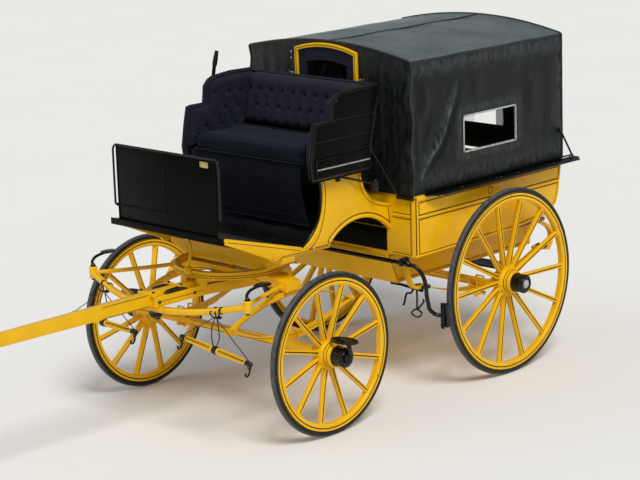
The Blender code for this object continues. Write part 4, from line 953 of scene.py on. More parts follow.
def body_looks():
    lower_edge = [(0.83, 0.810), (1.70, 0.820), (2.053, 0.854), (2.127, 0.913), (2.150, 0.975),
                  (2.180, 1.1695)]
    belt_low, belt_high, top = 1.032, 1.057, 1.131
    for side in SIDES:
        x = side * 0.645
        out = (side, 0, 0)

        def on(points, rise=0.0):
            return [(x + side * rise, y, z) for y, z in points]

        line("body", on([(0.840, 0.816), (0.840, 1.166)]), out, 0.0085)
        bead("body", YELLOW, on([(0.851, 0.826), (0.851, 1.166)]), out, 0.0048, 0.005)
        inner = shifted(lower_edge, 0.017)
        lower = [(0.866, belt_low), (0.866, 0.8275)] + inner[1:-1] + [(2.1420, belt_low)]
        line("body", on(lower), out, 0.0055, loop=True)
        line("body", on([(0.866, belt_high), (2.148, belt_high), (2.158, top), (0.866, top)]), out, 0.0055,
             loop=True)
        bead("body", YELLOW, on([(0.845, 1.0445), (2.155, 1.0445)]), out, 0.0090, 0.0055)
        bead("body", YELLOW, on([(0.845, 1.1500), (2.168, 1.1500)]), out, 0.0120, 0.0055)
        bead("body", YELLOW, on(shifted(lower_edge, 0.0085)), out, 0.0075, 0.006)
        thin = [(0.872, belt_low - 0.006), (0.872, 0.8335)] + shifted(lower_edge, 0.023)[1:-1]
        thin.append((2.136, belt_low - 0.006))
        bead("body", YELLOW, on(thin), out, 0.0022, 0.0025, loop=True)
        thin = [(0.872, belt_high + 0.006), (2.142, belt_high + 0.006), (2.151, top - 0.006),
                (0.872, top - 0.006)]
        bead("body", YELLOW, on(thin), out, 0.0022, 0.0025, loop=True)
        ring_line = [(1.505 + 0.021 * math.cos(t), 1.095 + 0.023 * math.sin(t)) for t in turns(28)]
        line("body", on(ring_line), out, 0.0042, loop=True)
        # Front face beside the boot
        ahead = (0, -1, 0)
        y = 0.83
        for z in (1.034, 1.063):
            line("body", [(side * 0.478, y, z), (side * 0.610, y, z)], ahead, 0.0040)
        bead("body", YELLOW, [(side * 0.474, y, 1.0485), (side * 0.610, y, 1.0485)], ahead, 0.0085, 0.006)
        line("body", [(side * 0.6125, y, 0.826), (side * 0.6125, y, 1.160)], ahead, 0.0042)
        line("body", [(side * 0.470, y, 0.827), (side * 0.610, y, 0.827)], ahead, 0.0040)
        bead("body", YELLOW, [(side * 0.628, y, 0.815), (side * 0.628, y, 1.150)], ahead, 0.0085, 0.005)
        bead("body", YELLOW, [(side * 0.460, y, 0.819), (side * 0.620, y, 0.819)], ahead, 0.0050, 0.004)
        # Rear face beside the door
        behind = (0, 1, 0)
        y = 2.152
        frame = [(side * 0.312, 0.86), (side * 0.405, 0.86), (side * 0.405, 0.92), (side * 0.608, 0.92),
                 (side * 0.608, 1.020), (side * 0.312, 1.020)]
        if side > 0:
            frame[0] = (0.385, 0.86)
            frame[-1] = (0.385, 1.020)
        line("body", [(a, y, z) for a, z in frame], behind, 0.0040, loop=True)
        high = [(frame[0][0], 1.045), (side * 0.608, 1.045), (side * 0.608, 1.145), (frame[0][0], 1.145)]
        line("body", [(a, y, z) for a, z in high], behind, 0.0040, loop=True)
        bead("body", YELLOW, [(frame[0][0], y, 1.0325), (side * 0.612, y, 1.0325)], behind, 0.0075, 0.005)
        # Foot well
        x = side * 0.42
        well = [(0.850, 0.790), (0.922, 0.635), (2.105, 0.635), (2.105, 0.790)]
        line("body", [(x, a, z) for a, z in well], out, 0.0035, loop=True)
        edge = [(0.8285, 0.806), (0.9135, 0.621), (2.124, 0.621)]
        bead("body", YELLOW, [(x, a, z) for a, z in edge], out, 0.0060, 0.006)
        for i in range(10):
            stud(trim("body", YELLOW), (x, 0.99 + 0.12 * i, 0.628), out, 0.0045, 0.002, 8)
    black = trim("body", BLACK)
    plate(black, (-0.4293, 0.8282, 0.828), (0.4293, 0.8297, 0.962), 0.0004)
    plate(black, (-0.4545, -0.4860, 1.110), (0.4545, -0.4803, 1.1465), 0.0015)


def dash_look():
    y = -0.47
    mesh = bmesh.new()
    corner = 0.035
    upper = 1.565
    half = [(0, upper)] + arc((0.425 - corner, upper - corner), corner, 90, 0, 8)
    half += [(0.425, 1.240), (0.4235, 1.230), (0.418, 1.2255), (0.412, 1.2250), (0.385, 1.2250)]
    loop = [(-a, y, z) for a, z in half[::-1]][:-1] + [(a, y, z) for a, z in half]
    tube(mesh, loop, 0.006, 12)
    low = floor_top(y - 0.004) + 0.0005
    plate(mesh, (-0.395, y - 0.004, low), (0.395, y + 0.004, upper), 0.0015)
    for face in (-1, 1):
        out = (0, face, 0)
        front = y + face * 0.004
        sweep(mesh, [(0, front, 1.232), (0, front, 1.560)], ridge(0.0045, 0.0035), side=out)
        sweep(mesh, [(-0.392, front, 1.2270), (0.392, front, 1.2270)], ridge(0.0055, 0.0045), side=out)
        for x in (-0.3915, 0.3915):
            sweep(mesh, [(x, front, low + 0.002), (x, front, 1.562)], ridge(0.0040, 0.0035), side=out)
    for side in SIDES:
        revolve(mesh, [(-0.006, 0), (-0.006, 0.009), (0.006, 0.009), (0.006, 0)], (side * 0.402, y, 1.2250),
                "x", 16)
        stud(mesh, (side * 0.402, y - 0.006, 1.2250), (0, -1, 0), 0.008, 0.005)
        for z in (1.55, 1.40):
            stud(mesh, (side * 0.386, y - 0.004, z), (0, -1, 0), 0.005, 0.003)
    piece("dash_look", mesh, BLACK, "body", ["dash"], angle=32, weld=False)
    rail = bmesh.new()
    tube(rail, [p for p in loop if p[2] > 1.236], 0.0063, 12)
    piece("dash_rail", rail, GLOSS, "body", angle=32, weld=False)
    brass = trim("body", BRASS)
    plate(brass, (0.285, y - 0.0058, 1.517), (0.349, y - 0.0038, 1.549), 0.0006)
    for x in (0.290, 0.344):
        stud(brass, (x, y - 0.0058, 1.533), (0, -1, 0), 0.0022, 0.0012, 8)


WING = [(0.144, 1.364), (0.134, 1.445), (0.156, 1.575), (0.177, 1.668), (0.307, 1.674), (0.319, 1.771),
        (0.350, 1.803), (0.387, 1.818), (0.520, 1.830), (0.704, 1.826), (0.659, 1.684), (0.609, 1.456),
        (0.606, 1.364)]


def wing_looks():
    gloss = trim("body", GLOSS)
    for side in SIDES:
        sign = "left" if side > 0 else "right"
        out = (side, 0, 0)
        x = side * 0.520
        if side > 0:
            sweep(gloss, [(0.5105, y, z) for y, z in WING], round_section(0.0098, 10), loop=True)
        else:
            sweep(gloss, [(-0.5155, y, z) for y, z in WING], round_section(0.0072, 10), loop=True)
            sweep(trim("body", CLOTH), [(-0.5035, y, z) for y, z in WING[:10]], round_section(0.0100, 10))
        sweep(gloss, [(x, y, z) for y, z in shifted(WING + WING[:1], -0.013)[:-1]], ridge(0.0026, 0.0022),
              side=out, loop=True)
        sweep(gloss, [(x, 0.170, 1.569), (x, 0.628, 1.569)], ridge(0.0032, 0.003), side=out)
        sweep(gloss, [(x, 0.196, 1.674), (x, 0.650, 1.674)], ridge(0.0032, 0.003), side=out)
        low, high = sorted((side * 0.519, side * 0.527))
        plate(trim("body", BLACK), (low, 0.160, 1.367), (high, 0.604, 1.476), 0.0018)
        frame = [(0.166, 1.373), (0.598, 1.373), (0.598, 1.470), (0.166, 1.470)]
        sweep(gloss, [(side * 0.527, y, z) for y, z in frame], ridge(0.0034, 0.003), side=out, loop=True)
        sweep(trim("body", STEEL), [(side * 0.5265, 0.172, 1.418), (side * 0.5265, 0.592, 1.418)],
              ridge(0.0050, 0.0035), side=out)
        head = Vector((side * 0.514, 0.6258, 1.455))
        foot = Vector((side * 0.540, 0.8135, 1.164))
        iron = trim("body", IRON)
        tube(iron, [head, foot], 0.0054, 12)
        for spot in (head, foot, Vector((side * 0.514, 0.6258, 1.470))):
            revolve(iron, [(-0.009, 0), (-0.0075, 0.006), (0, 0.0088), (0.0075, 0.006), (0.009, 0)], spot,
                    "z", 12)
        lamp_holder(side, sign)


def lamp_holder(side, sign):
    """Socket for a carriage lamp on a curved arm from the boot's side."""
    mesh = bmesh.new()
    centre = (side * 0.505, 0.655, 0)
    cup = [(1.207, 0), (1.207, 0.011), (1.2095, 0.0175), (1.2155, 0.0222), (1.222, 0.0238), (1.236, 0.0242),
           (1.238, 0.0275), (1.243, 0.0290), (1.2495, 0.0280), (1.2525, 0.0243), (1.266, 0.0238),
           (1.268, 0.0262), (1.2745, 0.0262), (1.2765, 0.0238), (1.283, 0.0222), (1.285, 0.0205),
           (1.285, 0.0182), (1.250, 0.0178), (1.250, 0)]
    revolve(mesh, cup, centre, "z", 28)
    x = side * 0.462
    arm = spline([(x, 0.393, 1.322), (x, 0.430, 1.329), (side * 0.490, 0.530, 1.300),
                  (side * 0.504, 0.632, 1.267)], 7)
    tube(mesh, arm, 0.0062, 10)
    low, high = sorted((side * 0.4553, side * 0.463))
    plate(mesh, (low, 0.385, 1.310), (high, 0.422, 1.336), 0.002)
    for y in (0.392, 0.415):
        stud(mesh, (side * 0.463, y, 1.315), (side, 0, 0), 0.0042, 0.0025, 8)
    piece(f"lamp_holder_{sign}_look", mesh, IRON, "body", [f"lamp_holder_{sign}"], angle=34,
          weld=False)


def wing_board_looks():
    for side in SIDES:
        gloss = trim("body", GLOSS)
        z = 1.174
        edge = [(0.6465, 0.9215), (0.675, 0.9215), (0.7235, 1.0105), (0.7235, 2.2545), (0.6845, 2.2985),
                (0.6465, 2.2985)]
        tube(gloss, [(side * x, y, 1.168) for x, y in edge], 0.0066, 10)
        sweep(gloss, [(side * 0.709, 1.02, z), (side * 0.709, 2.25, z)], ridge(0.0028, 0.0022),
              side=(0, 0, 1))
        for y in (1.185, 1.50, 1.54, 1.70, 2.04):
            stud(trim("body", BRASS), (side * 0.698, y, z), (0, 0, 1), 0.0062, 0.0030, 10)
        for y in (0.98, 1.28, 1.58, 1.88, 2.18):
            sweep(trim("body", IRON), [(side * 0.647, y, 1.150), (side * 0.650, y, 1.158),
                                       (side * 0.702, y, 1.1595)], flat_section(0.022, 0.006),
                  side=(0, 1, 0))


# Soft goods

def node_box(node):
    low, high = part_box(node)
    return Vector(low) - SHIFT, Vector(high) - SHIFT


def edge_distance(point, outline):
    """Distance from a 2-D point to the nearest side of a closed outline."""
    best = 1.0
    for a, b in zip(outline, outline[1:] + outline[:1]):
        run = (b[0] - a[0], b[1] - a[1])
        share = ((point[0] - a[0]) * run[0] + (point[1] - a[1]) * run[1]) / (run[0] ** 2 + run[1] ** 2)
        share = min(1.0, max(0.0, share))
        best = min(best, math.hypot(point[0] - a[0] - run[0] * share, point[1] - a[1] - run[1] * share))
    return best


def dent(distance, width):
    return math.exp(-(distance / width) ** 2)


def puffed(name, outline, place, depth, body, material, buttons=(), pleats=(), rounding=0.028, cell=0.007,
           replaces=(), seed=0.0, pull=0.40):
    """Stuffed panel: flat behind, crowned in front, drawn in at its buttons and along its pleats.

    place(a, b, height) gives the point over (a, b) of the outline.
    """
    mesh = bmesh.new()
    mesh.faces.new([mesh.verts.new((a, b, 0)) for a, b in outline])
    for inset in (0.002, 0.004):
        bmesh.ops.inset_region(mesh, faces=[max(mesh.faces, key=lambda f: f.calc_area())], thickness=inset,
                               use_even_offset=True)
    for axis, normal in ((0, (1, 0, 0)), (1, (0, 1, 0))):
        low = min(p[axis] for p in outline)
        high = max(p[axis] for p in outline)
        cuts = int((high - low) / cell)
        for i in range(1, cuts):
            spot = [0, 0, 0]
            spot[axis] = low + (high - low) * i / cuts
            bmesh.ops.bisect_plane(mesh, geom=mesh.verts[:] + mesh.edges[:] + mesh.faces[:], plane_co=spot,
                                   plane_no=normal, dist=0.0003)
    heights = {}
    for vert in mesh.verts:
        a, b = vert.co.x, vert.co.y
        away = edge_distance((a, b), outline)
        rise = min(away / rounding, 1.0)
        height = depth * math.sqrt(max(0.0, 1 - (1 - rise) ** 2))
        drawn = 0.0
        for spot in buttons:
            r = math.hypot(a - spot[0], b - spot[1])
            drawn = max(drawn, 0.62 * dent(r, 0.012) + 0.34 * dent(r, 0.034))
        for start, stop in pleats:
            away_fold = edge_distance((a, b), [start, stop])
            drawn = max(drawn, 0.05 * dent(away_fold, 0.0080) + 0.27 * dent(away_fold, 0.025))
        spot = Vector((a * 9, b * 9, seed))
        height *= 1 - pull * drawn
        height += 0.0022 * rise * (noise.noise(spot) + 0.5 * noise.noise(spot * 3.1))
        heights[vert] = max(0.0, height) if away > 0.00001 else 0.0
    border = [v for v in mesh.verts if edge_distance((v.co.x, v.co.y), outline) < 0.00005]
    copied = bmesh.ops.duplicate(mesh, geom=mesh.verts[:] + mesh.edges[:] + mesh.faces[:])
    mapping = copied["vert_map"]
    for vert, height in heights.items():
        mapping[vert].co = place(vert.co.x, vert.co.y, height)
    for vert in heights:
        vert.co = place(vert.co.x, vert.co.y, 0.0)
    bmesh.ops.weld_verts(mesh, targetmap={mapping[v]: v for v in border})
    made = piece(name, mesh, material, body, replaces, angle=120, weld=False)
    return made


def seat():
    low, high = node_box("seat_squab")
    foot, top = 0.606, 0.704

    def back_y(z):
        return foot + (top - foot) * (z - 1.40) / (1.826 - 1.40) - 0.0205

    pitch = 0.0885
    half = 0.4437
    pad_low = 1.533
    columns = [pitch * k for k in range(-4, 5)]
    rows = (1.729, 1.641, 1.556)
    upper = [0.022 + pitch * k for k in range(-5, 5)]
    buttons = [(x, rows[0]) for x in upper if abs(x) < half - 0.02]
    buttons += [(x, z) for z in rows[1:] for x in columns]
    pleats = []
    for x, z in buttons:
        if z == rows[0]:
            pleats += [((x, z), (other, rows[1])) for other in columns if abs(other - x) < 0.075]
        elif z == rows[1]:
            pleats.append(((x, z), (x, pad_low)))
    outline = [(-half, pad_low), (half, pad_low), (half, high.z + 0.008), (-half, high.z + 0.008)]
    puffed("seat_squab_back", outline, lambda a, b, h: Vector((a, back_y(b) - h, b)), 0.072, "body", CLOTH,
           buttons, pleats, rounding=0.040, replaces=["seat_squab"], seed=1.0)
    flank = [(0.155, low.z)] + shifted(WING, -0.010)[1:9]
    flank += [(0.679, 1.8165), (0.6485, 1.684), (0.5975, 1.456), (0.584, 1.40), (0.584, low.z)]
    top_row = [(0.350, 1.731), (0.456, 1.722), (0.550, 1.714)]
    middle_row = [(0.200, 1.640), (0.303, 1.636), (0.421, 1.634), (0.528, 1.628)]
    low_row = [(0.268, 1.547), (0.390, 1.541), (0.500, 1.532), (0.575, 1.526)]
    spots = top_row + middle_row + low_row
    tie = []
    for above, below in ((top_row, middle_row), (middle_row, low_row)):
        for one in above:
            tie += [(one, other) for other in below if abs(one[0] - other[0]) < 0.09]
    tie += [(one, (one[0] - 0.01, low.z)) for one in low_row]
    for side in SIDES:
        sign = "left" if side > 0 else "right"
        puffed(f"seat_squab_{sign}", flank, lambda a, b, h, side=side: Vector((side * (0.4993 - h), a, b)),
               0.0575, "body", CLOTH, spots, tie, rounding=0.034, replaces=["seat_squab"], seed=5.0 * side)
        for spot in spots:
            stud(trim("body", CLOTH), (side * (0.4993 - 0.0575 * 0.63), *spot), (-side, 0, 0), 0.0062,
                 0.0045, 10)
        rim = [Vector((side * 0.4915, a, b)) for a, b in shifted(WING, -0.0055)[:10]]
        tube(trim("body", CLOTH), rim, 0.0078, 10)
    for x, z in buttons:
        stud(trim("body", CLOTH), (x, back_y(z) - 0.072 * 0.63, z), (0, -1, 0.1), 0.0062, 0.0045, 10)
    crest = [(x, 0.6900, 1.8195) for x in (-0.4990, -0.25, 0.0, 0.25, 0.4990)]
    sweep(trim("body", CLOTH), crest, ridge(0.0130, 0.0085, 10), side=(0, 0, 1))
    seat_cushion()
    seat_fall()


def cushion(name, low, high, body, material, node, crown=0.016, pull=0.010, voxel=0.006):
    """Boxed cushion: swollen by a cloth simulation; its caller adds the piping along its seams."""
    low, high = Vector(low), Vector(high)
    mesh = bmesh.new()
    inner_low, inner_high = low + Vector((pull, pull, 0.0)), high - Vector((pull, pull, crown))
    plate(mesh, inner_low, inner_high, 0.010)
    made = piece(name, mesh, material, body, [node], angle=80)
    swell(made, low + SHIFT, high + SHIFT, voxel)
    return made


def swell(made, low, high, voxel):
    """Blow the piece up as cloth, kept inside its box and flat below."""
    scene = bpy.context.scene
    remesh = made.modifiers.new("remesh", "REMESH")
    remesh.mode = "VOXEL"
    remesh.voxel_size = voxel
    with bpy.context.temp_override(object=made, active_object=made, selected_objects=[made]):
        bpy.ops.object.modifier_apply(modifier="remesh")
    start = [v.co.copy() for v in made.data.vertices]
    cloth_change = made.modifiers.new("cloth", "CLOTH")
    cloth_change.settings.use_pressure = True
    cloth_change.settings.uniform_pressure_force = 4.0
    cloth_change.settings.effector_weights.gravity = 0.0
    cloth_change.settings.tension_stiffness = 18
    cloth_change.settings.bending_stiffness = 0.8
    for number in range(1, 21):
        scene.frame_set(number)
    with bpy.context.temp_override(object=made, active_object=made, selected_objects=[made]):
        bpy.ops.object.modifier_apply(modifier="cloth")
    for vert, first in zip(made.data.vertices, start):
        move = vert.co - first
        if move.length > 0.016:
            move *= 0.016 / move.length
        spot = first + move
        for k in range(3):
            spot[k] = min(max(spot[k], low[k]), high[k])
        vert.co = spot
    smooth = made.modifiers.new("smooth", "SUBSURF")
    smooth.levels = 1
    with bpy.context.temp_override(object=made, active_object=made, selected_objects=[made]):
        bpy.ops.object.modifier_apply(modifier="smooth")
    made.data.shade_smooth()
    scene.frame_set(1)


def box_loop(low, high, z, corner, bow=0.0):
    """Rounded rectangle at height z, with sides that bow in by bow at their middles."""
    points = []
    middle = ((low.x + high.x) / 2, (low.y + high.y) / 2)
    for cx, cy, start in ((high.x - corner, high.y - corner, 0), (low.x + corner, high.y - corner, 90),
                          (low.x + corner, low.y + corner, 180), (high.x - corner, low.y + corner, 270)):
        points += arc((cx, cy), corner, start, start + 90, 5)
    result = []
    for a, b in zip(points, points[1:] + points[:1]):
        long = math.hypot(b[0] - a[0], b[1] - a[1])
        count = max(1, int(long / 0.03))
        for i in range(count):
            t = i / count
            x, y = a[0] + (b[0] - a[0]) * t, a[1] + (b[1] - a[1]) * t
            squeeze = bow * math.sin(math.pi * t) if long > 0.1 else 0.0
            if abs(b[0] - a[0]) > abs(b[1] - a[1]):
                y += squeeze * (1 if y < middle[1] else -1)
            else:
                x += squeeze * (1 if x < middle[0] else -1)
            result.append(Vector((x, y, z)))
    return result


def seat_cushion():
    low, high = node_box("seat_cushion")
    low, high = Vector((-0.4375, 0.1305, low.z)), Vector((0.4375, 0.560, high.z + 0.006))
    cushion("seat_cushion_look", low, high, "body", CUSHION, "seat_cushion", voxel=0.008)
    piping = trim("body", CUSHION)
    for z, inset in ((high.z - 0.013, 0.0035), (low.z + 0.006, 0.005)):
        loop = box_loop(low + Vector((inset, inset, 0)), high - Vector((inset, inset, 0)), z, 0.030, 0.002)
        tube(piping, [p + Vector((0, 0, 0.0018 * noise.noise(p * 12))) for p in loop], 0.0042, 8, loop=True)


def fall_wave(x, z):
    """How far the hanging cloth stands forward in its folds."""
    fold = math.sin(x * 23 + 1.7 * noise.noise(Vector((x * 3, 0, 1))))
    return 0.0050 * fold + 0.0035 * noise.noise(Vector((x * 11, z * 3, 2)))


def seat_fall():
    """Cloth hung from under the cushion's front, with soft folds and a stitched hem."""
    mesh = bmesh.new()
    half, top, bottom = 0.425, 1.436, 1.086
    across, down = 78, 40
    grid = []
    for j in range(down + 1):
        t = j / down
        row = []
        for i in range(across + 1):
            u = i / across
            x = -half + 2 * half * u
            z = top + (bottom - top) * t
            y = 0.1425 if z > 1.344 else 0.1425 + 0.062 * ((1.344 - z) / 0.259) ** 1.15
            y -= (fall_wave(x, z) + 0.004) * min(1.0, t * 1.6)
            row.append(mesh.verts.new((x + 0.003 * noise.noise(Vector((0, z * 9, 3))), y, z)))
        grid.append(row)
    for row, after in zip(grid, grid[1:]):
        for i in range(across):
            mesh.faces.new((row[i], row[i + 1], after[i + 1], after[i]))
    bmesh.ops.solidify(mesh, geom=mesh.faces[:], thickness=0.0024)
    made = piece("seat_fall_look", mesh, CLOTH, "body", ["seat_fall"], angle=50, weld=False)
    hem = bmesh.new()
    for height, radius in ((0.050, 0.0011), (0.0025, 0.0019)):
        points = []
        for i in range(60):
            x = -half + 0.002 + (2 * half - 0.004) * i / 59
            z = bottom + height
            y = 0.1425 + 0.062 * ((1.344 - z) / 0.259) ** 1.15 - (fall_wave(x, z) + 0.004) - 0.0016
            points.append((x + 0.003 * noise.noise(Vector((0, z * 9, 3))), y, z))
        tube(hem, points, radius, 6)
    stitched = piece("seat_fall_hem", hem, CLOTH, "body", weld=False)


# Hood

HOOD_LOW = 1.1703
HOOD_HALF = 0.645
HOOD_FRONT = 0.82
HOOD_REAR = 2.19
EAVE_TOP = 1.945
CROWN = 2.016
EAVE = 0.016
WINDOW = (1.27, 1.745, 1.36, 1.57)


def steps_between(low, high, size):
    count = max(1, round((high - low) / size))
    return [low + (high - low) * i / count for i in range(count)]


def hood_section(size):
    """Half of the hood's section from sill to crown as (x, z), and how many stations are on the side."""
    side = steps_between(HOOD_LOW, WINDOW[2], size) + steps_between(WINDOW[2], WINDOW[3], size)
    side += steps_between(WINDOW[3], EAVE_TOP - EAVE, size)
    points = [(HOOD_HALF, z) for z in side]
    count = len(points)
    points += arc((HOOD_HALF - EAVE, EAVE_TOP - EAVE), EAVE, 0, 70, 3)
    x0, z0 = points[-1]
    for x in steps_between(0, x0, size)[::-1]:
        points.append((x, CROWN - (CROWN - z0) * (x / x0) ** 2))
    return points, count


def along_line(y, z, points):
    """Signed distance from a fold's line, positive behind it, and the share of the way along it."""
    best = (9.0, 0.0)
    total = sum(math.dist(a, b) for a, b in zip(points, points[1:]))
    run = 0.0
    for a, b in zip(points, points[1:]):
        ay, az = b[0] - a[0], b[1] - a[1]
        share = min(1.0, max(0.0, ((y - a[0]) * ay + (z - a[1]) * az) / (ay * ay + az * az)))
        dy, dz = y - a[0] - ay * share, z - a[1] - az * share
        away = math.hypot(dy, dz)
        if away < abs(best[0]):
            sign = 1 if dy * az - dz * ay < 0 else -1
            best = (sign * away, (run + share * math.hypot(ay, az)) / total)
        run += math.hypot(ay, az)
    return best


CREASE = [(1.197, 1.735), (1.142, 1.613), (1.096, 1.516), (1.041, 1.437), (0.970, 1.373), (0.925, 1.323),
          (0.881, 1.245)]
SIDE_FOLDS = [([(0.93, 1.80), (0.945, 1.70), (0.92, 1.60)], 0.007, 0.035),
              ([(0.86, 1.62), (0.875, 1.45), (0.86, 1.28)], 0.006, 0.030),
              ([(1.02, 1.66), (0.99, 1.55), (0.93, 1.43)], 0.005, 0.028),
              ([(0.84, 1.34), (0.90, 1.22), (0.97, 1.18)], 0.006, 0.028),
              ([(1.36, 1.90), (1.40, 1.76), (1.37, 1.64)], 0.003, 0.040),
              ([(1.87, 1.86), (1.90, 1.60), (1.86, 1.30)], 0.003, 0.050),
              ([(2.06, 1.80), (2.08, 1.55), (2.05, 1.28)], 0.003, 0.040)]


def side_relief(y, z, side):
    """How far the side canvas stands out (+) or lies in (-)."""
    place = Vector((y * 2.6, z * 1.3, 4.0 * side))
    out = 0.0045 * noise.noise(place) + 0.0022 * noise.noise(place * 3.3) + 0.0008 * noise.noise(place * 9)
    if side > 0:
        away, share = along_line(y, z, CREASE)
        width = 0.011 if away > 0 else 0.034
        fade = math.sin(math.pi * min(1.0, max(0.0, 0.06 + 0.90 * share))) ** 0.6
        out += 0.020 * fade * dent(away, width) - 0.008 * fade * dent(away - 0.034, 0.022)
        for points, height, width in SIDE_FOLDS:
            away, share = along_line(y, z, points)
            out += height * math.sin(math.pi * (0.08 + 0.84 * share)) * dent(away, width)
    else:
        out += 0.004 * math.sin(y * 19 + 3 * noise.noise(Vector((y, z * 2, 7))))
    y0, y1, z0, z1 = WINDOW
    gap = max(y0 - y, y - y1, z0 - z, z - z1, 0.0)
    out *= min(1.0, gap / 0.07)
    out *= min(1.0, (z - HOOD_LOW) / 0.05) * 0.9 + 0.1
    return out - 0.002


def end_relief(x, z, front):
    place = Vector((x * 4, z * 2, 11.0 if front else 15.0))
    out = 0.003 * noise.noise(place) + 0.0015 * noise.noise(place * 3)
    edge = 0.255 if front else 0.23
    frame_edge = min(1.0, max(0.0, (abs(x) - edge) / 0.10))
    flutes = math.sin(abs(x) * 62 + 1.8 * noise.noise(Vector((x * 3, z * 2.2, 5))))
    if front:
        soft = noise.noise(Vector((x * 9, z * 1.6, 9)))
        out += frame_edge * (0.0024 * flutes + 0.0050 * soft)
    else:
        out += frame_edge * 0.0025 * flutes
    return out * min(1.0, max(0.0, (EAVE_TOP + 0.02 - z) / 0.10)) - 0.002


def canvas_wear_and_crease_highlight(point):
    """Lighter places: a painted highlight along the big fold and on its lit front side, and rubbed wear below
    the eaves, round the window and up the corners.
    """
    x, y, z = point
    amount = 0.0
    if abs(x) > HOOD_HALF - 0.03:
        away, share = along_line(y, z, CREASE)
        fade = math.sin(math.pi * min(1.0, max(0.0, 0.05 + 0.9 * share))) ** 0.5
        # Painted highlight: a narrow lighter band on the crease and a broader one on its lit front side, on
        # the near side only.
        if x > 0:
            amount = fade * (0.85 * dent(away - 0.004, 0.016) + 0.40 * dent(away + 0.024, 0.030))
        amount = max(amount, 0.30 * dent(z - EAVE_TOP + 0.05, 0.05))
        amount = max(amount, 0.35 * dent(y - HOOD_REAR, 0.05), 0.25 * dent(y - HOOD_FRONT, 0.03))
        y0, y1, z0, z1 = WINDOW
        gap = math.hypot(max(y0 - y, y - y1, 0.0), max(z0 - z, z - z1, 0.0))
        amount = max(amount, 0.28 * dent(gap - 0.03, 0.03))
        amount = max(amount, 0.22 * dent(z - 1.24, 0.05))
    else:
        amount = 0.10
    return min(1.0, amount)


def roof_relief(x, y):
    bays = 3
    share = (y - HOOD_FRONT) / (HOOD_REAR - HOOD_FRONT)
    sag = 0.0065 * math.sin(math.pi * ((share * bays) % 1.0)) ** 2 * (1 - (x / HOOD_HALF) ** 2)
    place = Vector((x * 3.5, y * 3.5, 21))
    return 0.0020 * noise.noise(place) + 0.0012 * noise.noise(place * 3) - sag - 0.0022


def hood():
    size = 0.013
    half, side_count = hood_section(size)
    section = half + [(0.0, CROWN)] + [(-x, z) for x, z in half[::-1]]
    stations = steps_between(HOOD_FRONT, WINDOW[0], size) + steps_between(WINDOW[0], WINDOW[1], size)
    stations += steps_between(WINDOW[1], HOOD_REAR, size) + [HOOD_REAR]
    mesh = bmesh.new()
    wrap = [[mesh.verts.new((x, y, z)) for y in stations] for x, z in section]
    middle_y = [(a + b) / 2 for a, b in zip(stations, stations[1:])]
    for (row, after), (a, b) in zip(zip(wrap, wrap[1:]), zip(section, section[1:])):
        for i, y in enumerate(middle_y):
            z = (a[1] + b[1]) / 2
            on_side = abs(a[0]) > HOOD_HALF - 0.0001 and abs(b[0]) > HOOD_HALF - 0.0001
            if on_side and WINDOW[0] < y < WINDOW[1] and WINDOW[2] < z < WINDOW[3]:
                continue
            mesh.faces.new((row[i], row[i + 1], after[i + 1], after[i]))
    upper = section[side_count:len(section) - side_count]
    for end, front in ((0, True), (len(stations) - 1, False)):
        columns = []
        for c, (x, top) in enumerate(upper):
            if c == 0:
                columns.append([wrap[r][end] for r in range(side_count + 1)])
                continue
            if c == len(upper) - 1:
                columns.append([wrap[len(section) - 1 - r][end] for r in range(side_count + 1)])
                continue
            column = []
            for r in range(side_count):
                side_height = section[side_count][1] - HOOD_LOW
                z = HOOD_LOW + (section[r][1] - HOOD_LOW) * (top - HOOD_LOW) / side_height
                column.append(mesh.verts.new((x, stations[end], z)))
            columns.append(column + [wrap[side_count + c][end]])
        for left, right in zip(columns, columns[1:]):
            for r in range(side_count):
                corners = (left[r], left[r + 1], right[r + 1], right[r])
                centre = sum((v.co for v in corners), Vector()) / 4
                arch = 1.20 + math.sqrt(0.781 ** 2 - centre.x ** 2)
                if front and abs(centre.x) < 0.226 and 1.345 < centre.z < arch:
                    continue
                if not front and abs(centre.x) < 0.137 and 1.325 < centre.z < 1.565:
                    continue
                mesh.faces.new(corners)
    for vert in [v for v in mesh.verts if not v.link_faces]:
        mesh.verts.remove(vert)
    bmesh.ops.recalc_face_normals(mesh, faces=mesh.faces)
    mesh.normal_update()
    moves = {}
    for vert in mesh.verts:
        x, y, z = vert.co
        n = vert.normal
        on_side = max(0.0, abs(n.x) - 0.15)
        on_end = max(0.0, abs(n.y) - 0.15)
        on_top = max(0.0, n.z - 0.15)
        total = on_side + on_end + on_top
        side = 1 if x > 0 else -1
        move = Vector((side * on_side * side_relief(y, z, side), 0, 0))
        move += Vector((0, math.copysign(1, n.y) * on_end * end_relief(x, z, y < 1.5), 0))
        move += Vector((0, 0, on_top * roof_relief(x, y)))
        moves[vert] = move / total
        below_eave = min(1.0, max(0.0, (EAVE_TOP - z) / 0.08))
        front_corner = dent(abs(x) - HOOD_HALF, 0.05) * dent(y - HOOD_FRONT, 0.05) * below_eave
        above_sill = min(1.0, (z - HOOD_LOW) / 0.10)
        wave = 0.010 * math.sin(z * 21 + 2.2 * noise.noise(Vector((0, 0, z * 4)))) * above_sill
        moves[vert] += front_corner * Vector((-side * 0.004, wave + 0.004, 0))
    for vert, move in moves.items():
        vert.co += move
    seams = hood_seams(wrap, section, side_count, stations)
    area = sum(f.calc_area() for f in mesh.faces)
    bmesh.ops.solidify(mesh, geom=mesh.faces[:], thickness=0.0028)
    made = piece("hood_canvas", mesh, CANVAS, "body", ["hood"], angle=70, weld=False)
    set_wear(made, canvas_wear_and_crease_highlight)
    hood_windows()


